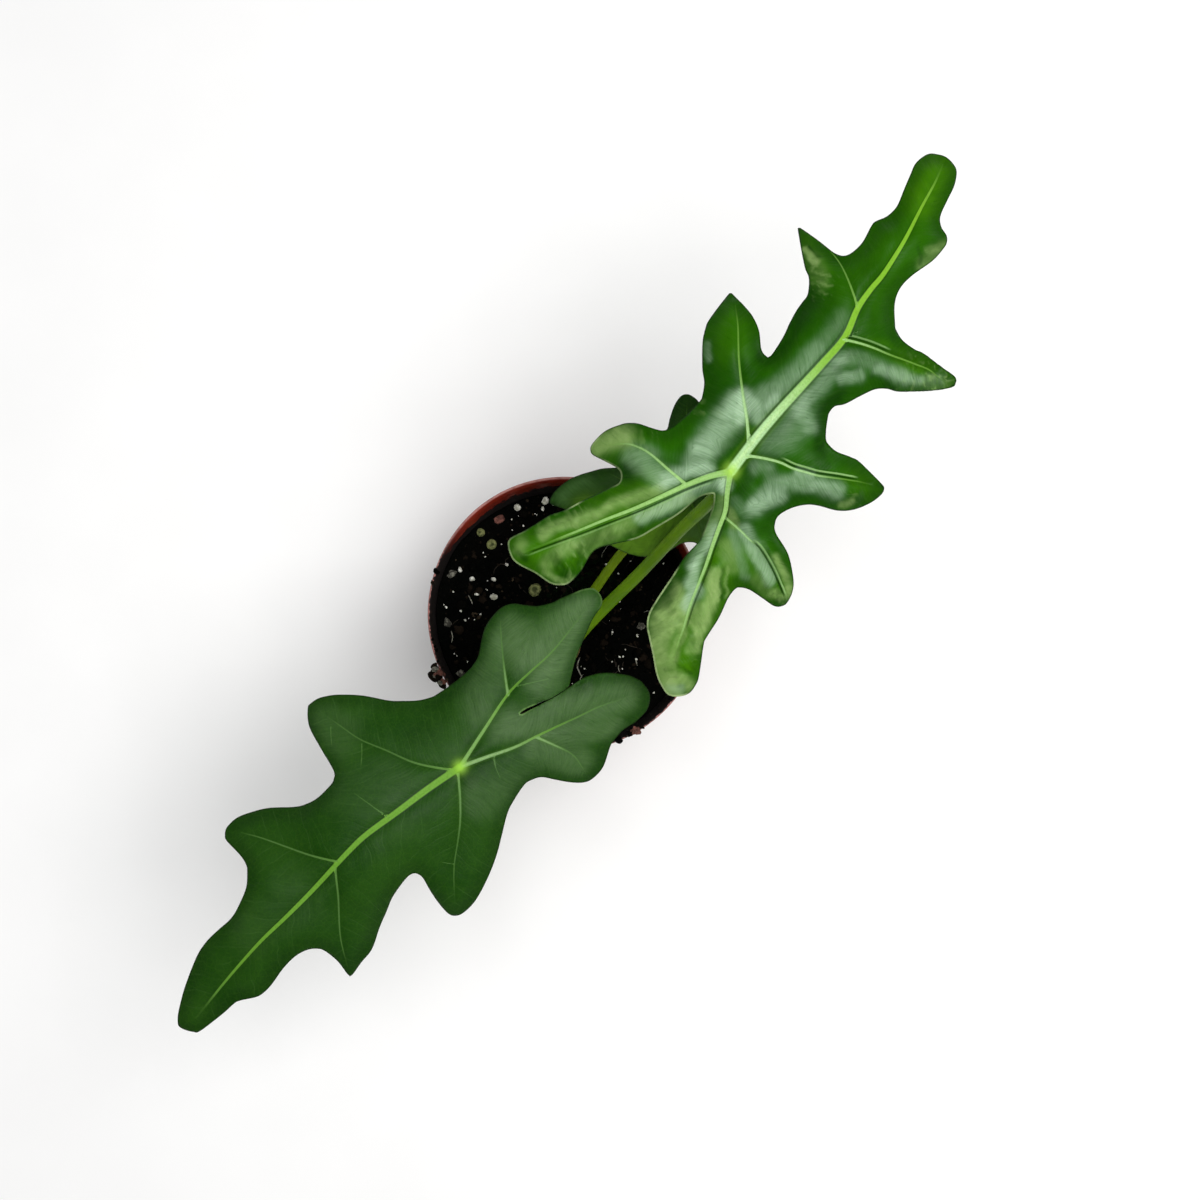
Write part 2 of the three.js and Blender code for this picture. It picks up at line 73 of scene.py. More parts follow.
# Leaf blades in plan: outline, heights the surface passes through, ribs
UPPER_OUTLINE = [
    (117.3, 148.9), (114.8, 146.3), (113.2, 143.0), (110.5, 137.2), (108.3, 132.1), (106.7, 129.8), (104.3, 127.7), (100.7,
    126.0), (99.3, 124.4), (96.0, 118.6), (91.6, 114.8), (87.9, 115.4), (82.5, 120.9), (77.6, 125.7), (76.9, 125.7), (77.5,
    118.5), (78.3, 111.5), (79.3, 107.6), (78.7, 102.2), (77.0, 99.7), (75.0, 96.8), (72.8, 92.7), (70.7, 88.3), (67.0, 82.7),
    (65.5, 82.7), (64.0, 85.0), (63.4, 90.8), (61.7, 95.6), (59.5, 99.2), (57.0, 102.5), (55.4, 104.5), (54.7, 104.5), (51.1,
    99.8), (47.8, 95.1), (46.8, 92.8), (45.7, 87.8), (45.6, 79.6), (46.2, 74.8), (45.6, 70.6), (44.9, 69.0), (41.9, 65.8),
    (38.7, 62.7), (35.9, 60.5), (33.0, 59.5), (29.2, 60.5), (25.7, 61.9), (22.9, 62.4), (20.0, 62.2), (14.5, 60.2), (10.3,
    56.2), (9.8, 53.8), (11.0, 52.3), (14.8, 50.1), (18.6, 47.7), (19.6, 45.5), (18.9, 43.0), (15.5, 41.3), (11.1, 39.2), (6.4,
    37.1), (1.3, 34.4), (-3.4, 32.8), (-7.2, 30.5), (-11.3, 28.1), (-16.5, 25.4), (-17.1, 22.7), (-15.7, 18.7), (-12.9, 16.4),
    (-8.2, 14.0), (-3.5, 10.8), (-0.3, 10.1), (2.8, 10.8), (6.7, 14.7), (10.0, 20.2), (12.9, 22.3), (16.8, 23.2), (24.9, 25.1),
    (30.0, 27.9), (34.3, 30.4), (38.4, 33.0), (44.7, 38.1), (48.5, 39.2), (49.2, 39.2), (49.0, 35.2), (47.0, 29.5), (44.8,
    24.4), (40.3, 19.4), (35.8, 12.5), (31.3, 5.6), (28.8, 1.1), (28.1, -3.0), (28.8, -7.0), (30.0, -12.3), (31.4, -19.3),
    (33.3, -23.4), (35.3, -25.8), (38.5, -26.3), (41.9, -25.2), (44.1, -22.3), (45.1, -19.3), (46.4, -9.5), (47.3, -6.9), (51.3,
    -0.5), (54.3, 5.9), (56.6, 8.9), (58.2, 9.3), (61.2, 8.6), (65.5, 5.9), (69.6, 3.3), (72.2, 3.3), (73.9, 4.5), (75.5, 8.2),
    (75.5, 12.7), (73.5, 20.1), (69.4, 26.7), (69.0, 29.9), (70.2, 32.4), (74.2, 34.7), (79.0, 35.8), (83.0, 35.5), (89.4,
    34.1), (95.0, 34.5), (100.5, 36.8), (104.0, 39.6), (104.6, 41.4), (104.4, 42.0), (96.2, 49.2), (92.8, 50.9), (88.2, 52.5),
    (85.5, 54.8), (84.7, 57.0), (85.2, 63.2), (85.8, 65.0), (87.4, 66.7), (90.7, 67.5), (95.5, 70.0), (100.3, 72.2), (104.4,
    72.5), (108.5, 71.8), (118.7, 72.5), (126.2, 73.8), (127.6, 75.2), (127.6, 76.7), (125.4, 78.5), (116.4, 83.7), (112.8,
    85.1), (108.9, 87.8), (106.8, 90.8), (106.4, 92.6), (106.3, 99.2), (108.0, 104.0), (112.0, 108.3), (118.8, 113.3), (122.9,
    117.8), (124.1, 119.9), (124.1, 122.2), (122.3, 125.0), (122.1, 128.4), (124.6, 133.7), (127.4, 139.1), (128.5, 144.0),
    (127.6, 146.8), (125.5, 149.2), (123.1, 150.2), (120.1, 150.5)
]
UPPER_HEIGHTS = [
    (54.5, 46.2, 198), (62.4, 56.7, 201), (75.5, 71.7, 205), (88.8, 86.9, 206), (97.6, 105.1, 204), (109.5, 122.4, 199), (122.3,
    148.3, 187), (127.5, 76.1, 190), (104.6, 41.4, 190), (72.9, 4.3, 186), (55.1, 104.4, 190), (77.0, 125.7, 190), (10.3, 54.8,
    184), (-16.4, 21.6, 184), (39.0, -25.3, 183), (106.9, 96.1, 201), (85.2, 59.9, 198), (69.8, 29.6, 194), (66.3, 82.1, 200),
    (91.0, 115.0, 200), (45.4, 74.8, 195), (35.9, 60.2, 195), (19.6, 45.8, 191), (55.6, 7.9, 191), (49.2, 38.7, 196.5), (109.5,
    82.9, 199), (88.5, 46.0, 197), (56.5, 84.3, 200), (25.7, 56.5, 193), (25.7, 35.7, 194), (0.0, 27.9, 189), (12.9, 21.5, 188),
    (1.8, 10.8, 184), (46.8, 13.3, 193), (30.7, 2.7, 187), (42.0, -14.1, 188), (63.5, 21.9, 193), (122.9, 120.1, 195), (101.7,
    126.8, 198), (109.2, 72.0, 195), (89.4, 34.2, 191)
]
UPPER_RIBS = [  # name, plan points, half width at its start and end
    ("mid", [(54.5, 46.2), (62.4, 56.7), (69.2, 64.7), (75.6, 71.7), (82.7, 79.5), (89.5, 87.5), (93.7, 96.7), (97.9, 102.8),
     (102.5, 108.4), (109.3, 119.1), (115.6, 130.7), (120.6, 139.4), (124.5, 147.4)], 1.58, 0.25),
    ("L1", [(60.0, 53.6), (59.3, 62.1), (58.0, 70.6), (56.8, 82.4), (56.8, 92.8), (56.2, 102.2)], 0.55, 0.2),
    ("L2", [(93.7, 97.1), (91.1, 105.5), (89.0, 111.7), (86.8, 115.6), (84.5, 118.2)], 0.42, 0.14),
    ("R1", [(89.0, 86.9), (93.0, 86.2), (98.8, 84.8), (104.7, 82.9), (109.9, 81.5), (113.4, 80.5), (118.3, 79.1), (123.0, 76.2),
     (126.5, 74.5)], 0.45, 0.2),
    ("R2", [(59.1, 50.7), (61.0, 50.8), (63.5, 50.4), (67.0, 49.7), (70.5, 48.7), (74.0, 47.1), (78.3, 45.9), (82.5, 44.8),
     (90.3, 43.9), (96.8, 43.1), (102.6, 41.9)], 0.5, 0.2),
    ("P1", [(54.5, 46.2), (47.8, 44.7), (40.3, 41.9), (32.0, 38.1), (24.1, 34.7), (14.2, 31.0), (5.5, 27.5), (-3.3, 24.1),
     (-10.8, 21.2)], 1.05, 0.25),
    ("P1a", [(40.6, 41.9), (34.9, 46.7), (28.8, 52.1), (25.1, 54.3), (21.1, 55.6), (13.2, 55.3)], 0.55, 0.2),
    ("P2", [(54.5, 46.2), (53.6, 40.3), (53.0, 33.9), (51.1, 28.6), (48.7, 21.9), (46.8, 16.2), (44.3, 9.8), (41.9, 3.4), (39.7,
     -4.4), (37.8, -9.9), (35.9, -17.4)], 0.9, 0.22),
    ("P2a", [(53.0, 31.7), (57.4, 27.9), (60.8, 24.6), (63.9, 22.3), (68.1, 15.9), (70.8, 10.5), (72.8, 6.3)], 0.42, 0.1),
]
FRONT_OUTLINE = [
    (18.4, -41.8), (20.5, -39.4), (22.8, -37.9), (25.6, -36.1), (29.3, -32.0), (30.0, -27.1), (27.5, -23.0), (24.8, -21.3),
    (22.1, -20.3), (16.3, -19.5), (12.9, -19.6), (10.2, -20.1), (7.2, -21.1), (4.8, -22.6), (2.5, -24.2), (-0.2, -26.0), (-2.9,
    -27.6), (-5.3, -28.8), (-8.2, -30.4), (-10.6, -31.5), (-12.2, -32.4), (-13.7, -33.0), (-13.9, -32.6), (-12.6, -31.6),
    (-10.9, -30.7), (-8.7, -29.8), (-5.5, -28.4), (-2.9, -27.3), (-0.3, -25.7), (2.3, -23.9), (3.3, -20.0), (4.8, -14.3), (7.4,
    -7.9), (10.5, -1.1), (13.5, 3.6), (13.1, 7.0), (10.6, 9.3), (7.3, 9.0), (4.1, 7.8), (-0.9, 5.7), (-3.0, 4.5), (-8.1, 3.3),
    (-12.5, 3.6), (-16.5, 4.1), (-20.3, 2.9), (-23.5, -0.1), (-25.9, -3.8), (-27.1, -8.2), (-28.2, -13.6), (-30.7, -17.6),
    (-34.8, -21.3), (-38.7, -24.2), (-42.0, -26.4), (-44.1, -27.5), (-48.5, -28.6), (-53.6, -28.8), (-58.8, -28.7), (-67.8,
    -27.1), (-75.9, -26.9), (-80.1, -27.4), (-83.6, -28.4), (-86.4, -30.4), (-86.9, -31.5), (-86.7, -35.5), (-85.3, -39.2),
    (-80.9, -45.6), (-76.5, -52.0), (-76.3, -54.6), (-77.3, -56.6), (-81.8, -61.0), (-85.9, -63.3), (-90.3, -64.6), (-99.4,
    -65.4), (-105.2, -66.8), (-111.0, -69.0), (-114.0, -71.6), (-114.9, -73.2), (-115.0, -74.9), (-114.2, -76.7), (-109.0,
    -80.9), (-106.5, -83.9), (-105.9, -86.1), (-106.2, -91.7), (-109.6, -99.1), (-112.4, -102.9), (-116.5, -106.5), (-120.7,
    -110.5), (-124.0, -114.8), (-126.7, -120.3), (-129.4, -126.6), (-131.4, -132.1), (-133.0, -137.7), (-133.3, -141.4),
    (-132.8, -142.6), (-131.0, -143.6), (-127.8, -144.2), (-125.3, -143.7), (-117.2, -137.3), (-112.3, -132.8), (-110.0,
    -131.5), (-104.3, -130.0), (-101.6, -128.4), (-98.7, -125.4), (-94.3, -119.4), (-90.0, -115.0), (-86.0, -112.7), (-82.7,
    -112.3), (-80.2, -113.3), (-76.5, -117.5), (-73.5, -123.0), (-72.1, -123.3), (-68.6, -118.5), (-64.9, -113.8), (-61.9,
    -105.9), (-59.2, -99.9), (-56.7, -94.4), (-52.2, -88.1), (-49.7, -86.3), (-47.8, -86.8), (-46.4, -88.4), (-44.4, -92.9),
    (-42.1, -97.4), (-39.0, -101.7), (-36.6, -102.7), (-33.7, -101.6), (-29.6, -97.3), (-25.4, -89.5), (-22.2, -81.4), (-20.1,
    -73.6), (-18.2, -66.4), (-15.8, -61.7), (-12.4, -56.8), (-9.7, -55.3), (-6.7, -54.6), (-2.0, -55.7), (2.7, -56.7), (7.4,
    -56.9), (10.5, -55.6), (14.0, -51.7), (16.5, -44.5)
]
FRONT_HEIGHTS = [
    (-33.8, -50.4, 170), (-48.8, -61.1, 173), (-64.6, -72.5, 174), (-74.7, -81.6, 173), (-90.9, -97.8, 168), (-107.4, -116.0,
    161), (-128.7, -140.4, 150), (-86.0, -30.2, 157), (-114.0, -73.9, 157), (-36.6, -102.2, 157), (-72.9, -122.9, 156), (12.2,
    8.0, 158), (5.5, -25.1, 163), (29.3, -27.2, 155), (7.8, -56.0, 158), (-76.5, -53.6, 168), (-106.0, -86.1, 166), (-49.0,
    -86.4, 168), (-82.7, -112.5, 165), (-42.0, -26.4, 164), (-23.3, 0.6, 162), (-0.7, 5.3, 161), (-7.4, -54.8, 163), (-19.1,
    -68.7, 165), (-15.6, -32.6, 167.5), (-10.5, -24.8, 168.5), (-5.5, -14.8, 167), (-54.1, -43.2, 168), (-70.8, -36.9, 163),
    (-91.4, -74.8, 165), (-35.1, -77.0, 166), (-74.4, -100.5, 166), (-12.3, -43.0, 167), (9.5, -32.7, 161), (4.4, -43.7, 162),
    (-101.0, -128.3, 159), (-120.7, -110.6, 159)
]
FRONT_RIBS = [  # name, plan points, half width at its start and end
    ("mid", [(-33.8, -50.4), (-44.3, -57.5), (-54.4, -65.0), (-64.6, -72.5), (-70.0, -77.6), (-74.8, -82.7), (-84.0, -92.6),
     (-92.6, -101.2), (-102.0, -110.3), (-113.8, -123.5), (-126.4, -138.8)], 1.15, 0.3),
    ("L1", [(-36.4, -51.4), (-43.1, -50.3), (-49.8, -48.7), (-59.0, -44.9), (-68.1, -41.4), (-75.8, -36.7), (-83.1, -32.1)],
     0.42, 0.15),
    ("L2", [(-74.0, -81.6), (-80.3, -80.6), (-86.4, -79.3), (-94.4, -77.1), (-102.4, -74.9), (-111.4, -73.4)], 0.42, 0.15),
    ("R1", [(-34.4, -52.7), (-33.8, -60.8), (-33.9, -69.0), (-35.1, -77.3), (-36.3, -85.1), (-36.5, -99.2)], 0.42, 0.15),
    ("R2", [(-75.1, -83.7), (-74.6, -93.3), (-74.8, -101.6), (-74.6, -110.2), (-73.3, -120.1)], 0.4, 0.15),
    ("P1", [(-33.8, -50.4), (-25.9, -38.2), (-17.9, -26.2), (-10.5, -18.8), (-3.6, -12.5), (3.8, -3.5), (10.9, 6.0)], 0.72,
     0.2),
    ("P1a", [(-17.9, -26.5), (-18.9, -19.8), (-19.7, -13.5), (-20.4, -6.8), (-20.9, 0.6)], 0.5, 0.15),
    ("P2", [(-33.8, -50.4), (-24.9, -47.2), (-15.6, -44.0), (-8.3, -40.4), (-1.2, -37.1), (6.1, -33.9), (13.2, -30.7), (25.9,
     -26.8)], 0.72, 0.2),
    ("P2a", [(-8.6, -40.7), (-1.9, -43.9), (4.1, -47.5), (8.8, -55.0)], 0.5, 0.15),
    ("t1", [(-78.2, -37.7), (-78.0, -40.6), (-77.4, -44.2)], 0.17, 0.07),
    ("t2", [(-67.1, -43.1), (-66.8, -46.6), (-66.9, -50.8)], 0.17, 0.07),
    ("t3", [(-57.0, -66.9), (-63.4, -62.4), (-69.7, -58.3)], 0.17, 0.07),
    ("t4", [(-36.1, -83.6), (-38.2, -83.2), (-40.5, -82.5)], 0.17, 0.07),
    ("t5", [(-14.5, -23.5), (-8.9, -22.1), (-1.9, -20.6)], 0.17, 0.07),
    ("t6", [(-22.6, -47.2), (-21.9, -50.9), (-20.3, -54.7)], 0.17, 0.07),
]
LOWER_OUTLINE = [
    (83.5, 100.8), (81.2, 95.7), (78.2, 89.8), (74.2, 84.0), (69.9, 78.2), (65.8, 72.2), (61.7, 66.7), (57.5, 64.5), (54.0,
    66.0), (50.7, 70.4), (47.7, 74.9), (45.7, 77.0), (43.6, 78.0), (41.4, 77.3), (39.2, 74.1), (37.5, 69.4), (36.4, 65.3),
    (33.3, 61.5), (28.7, 57.3), (23.5, 53.6), (19.1, 52.3), (15.7, 52.2), (12.9, 51.9), (9.3, 51.0), (5.8, 50.0), (2.2, 48.5),
    (-1.4, 46.0), (-3.9, 43.4), (-5.2, 40.7), (-4.3, 39.4), (-0.7, 38.1), (4.0, 35.5), (10.1, 30.1), (15.4, 25.5), (21.8, 22.1),
    (27.1, 20.7), (32.4, 20.7), (36.9, 22.3), (41.1, 24.9), (44.6, 25.7), (47.5, 24.7), (49.4, 19.5), (48.9, 11.7), (50.4, 4.6),
    (53.0, 1.7), (55.8, 3.9), (58.1, 10.6), (60.7, 18.8), (63.0, 23.6), (67.0, 22.3), (71.8, 20.9), (73.4, 24.8), (71.4, 31.4),
    (68.3, 37.5), (68.9, 43.1), (72.4, 47.3), (78.2, 49.9), (84.1, 52.5), (85.5, 56.0), (82.1, 59.4), (75.9, 62.7), (70.9,
    66.8), (70.1, 71.5), (72.7, 76.3), (77.7, 79.9), (83.5, 83.6), (87.5, 88.7), (89.1, 94.8), (88.5, 100.2), (86.1, 103.1)
]
LOWER_HEIGHTS = [
    (42.4, 44.2, 146), (54.5, 59.0, 148), (68.4, 76.4, 147), (86.1, 102.7, 139), (43.6, 78.0, 137), (36.8, 65.7, 140), (57.5,
    64.9, 144), (85.5, 56.0, 138), (70.5, 71.6, 144), (68.9, 42.0, 142), (73.2, 22.3, 134), (53.0, 1.7, 128), (49.2, 24.7, 137),
    (32.4, 20.9, 135), (15.7, 25.5, 134), (-5.0, 40.3, 129), (4.0, 48.8, 131), (18.9, 52.0, 136), (23.4, 38.5, 142), (60.4,
    26.4, 139)
]
LOWER_RIBS = [  # name, plan points, half width at its start and end
    ("mid", [(42.4, 44.2), (48.3, 52.1), (54.5, 60.1), (61.7, 68.8), (69.2, 78.2), (77.5, 90.5), (85.3, 101.6)], 0.8, 0.2),
    ("L1", [(44.2, 47.0), (43.5, 55.7), (43.0, 64.7), (43.6, 75.8)], 0.4, 0.15),
    ("R1", [(44.2, 46.3), (54.5, 51.0), (65.1, 53.4), (83.3, 55.6)], 0.4, 0.15),
    ("P1", [(42.4, 44.2), (33.8, 43.0), (23.4, 42.8), (12.9, 42.4), (-2.8, 40.7)], 0.6, 0.18),
    ("P2", [(42.4, 44.2), (45.7, 36.7), (48.8, 26.4), (51.3, 14.2), (52.6, 3.9)], 0.6, 0.18),
    ("P2a", [(46.8, 34.0), (54.9, 31.6), (63.9, 28.2), (71.3, 23.0)], 0.35, 0.13),
    ("P1a", [(26.9, 42.7), (21.7, 46.8), (15.7, 50.6)], 0.3, 0.12),
]
FRONT_SLIT = [(-14.0, -32.9), (-10.5, -31.0), (-6.9, -28.9), (-2.9, -27.6), (-0.2, -26.1), (2.1, -24.0), (5.1, -23.0)]
UPPER_DEEP = {"P1": 1.7, "P2": 1.5, "P2a": 2.3, "R1": 1.9, "R2": 1.7, "L1": 1.0, "L2": 0.8, "P1a": 1.5}
# a narrow fold beside a rib, coloured with painted shade along the fold and a painted highlight on its second crest:
# its offset, how dark it is, the share of the rib where it starts and ends, and the second crest
UPPER_GROOVES = {"P1": (1.35, 0.85, 0.12, 0.97, 0.35), "P2": (0.95, 0.7, 0.2, 0.75, 0.0), "P2a": (0.0, 1.0, 0.42, 0.93, 0.9),
                 "R1": (0.75, 0.7, 0.04, 0.34, 0.6), "R2": (0.7, 0.8, 0.3, 0.78, 1.0), "mid": (1.75, 0.5, 0.1, 0.45, 0.0)}
UPPER_FOLDS = [  # a line, its half width and its height
    ([(60.0, 19.7), (63.3, 16.2), (66.4, 12.4), (69.1, 8.5)], 1.5, 0.9),
    ([(64.7, 24.2), (68.1, 20.4), (71.2, 15.6), (73.4, 10.8)], 1.5, 0.9),
    ([(50.0, 18.1), (47.8, 11.7), (46.3, 5.3), (45.1, -3.7)], 2, 1.1),
    ([(53.5, 17.5), (53.0, 11.7), (51.8, 4.3)], 1.2, -0.9),
    ([(87.5, 78.6), (87.9, 76.2), (88.0, 73.2)], 0.9, -0.5),
    ([(95.2, 79.8), (94.1, 76.4), (93.0, 72.8)], 0.9, -0.5),
    ([(103.6, 79.2), (102.0, 77.7), (100.5, 75.5)], 0.8, 0.35),
    ([(44.7, 37.1), (35.2, 32.7), (25.7, 29.6), (14.5, 25.3)], 2.2, 0.9),
    ([(32.0, 41.6), (22.5, 38.0), (12.9, 34.3), (1.6, 30.5)], 1.8, 0.8),
    ([(62.0, 44.0), (73.2, 41.8), (86.3, 39.8), (98.3, 39.3)], 3, 1.2),
    ([(101.5, 75.5), (110.1, 74.1), (120.3, 74.6)], 2.2, 0.8),
    ([(43.6, 21.9), (42.0, 16.2), (39.3, 8.5), (34.9, 0.8)], 2.6, 1.3),
]
UPPER_CRINKLES = [  # middle, reach, wavelength, height and the way the waves follow each other
    (120.3, 74.9, 9, 0.8, 0.35, 40),
    (25.7, 30.9, 14, 1.7, 0.14, 25),
    (12.9, 18.2, 12, 1.6, 0.2, 30),
    (34.9, -10.9, 12, 1.6, 0.12, 70),
    (93.0, 38.9, 7, 0.9, 0.22, 60),
    (82.9, 104.9, 6.5, 0.8, 0.26, 35),
    (80.3, 112.7, 4.5, 1, 0.2, 40),
    (116.8, 75.3, 10, 0.9, 0.38, 10),
    (45.2, -12.5, 9, 1.2, 0.15, 95),
    (71.1, 8.5, 5, 0.8, 0.3, 60),
    (47.2, 63.1, 9, 1.2, 0.22, 60),
    (4.8, 14.4, 10, 1.3, 0.4, 20),
    (-0.0, 32.7, 11, 1.6, 0.3, 25),
    (38.3, -22.7, 5, 1.2, 0.3, 100),
    (33.3, -1.2, 9, 1.6, 0.18, 80),
    (25.7, 56.5, 8, 1.5, 0.2, 0),
]
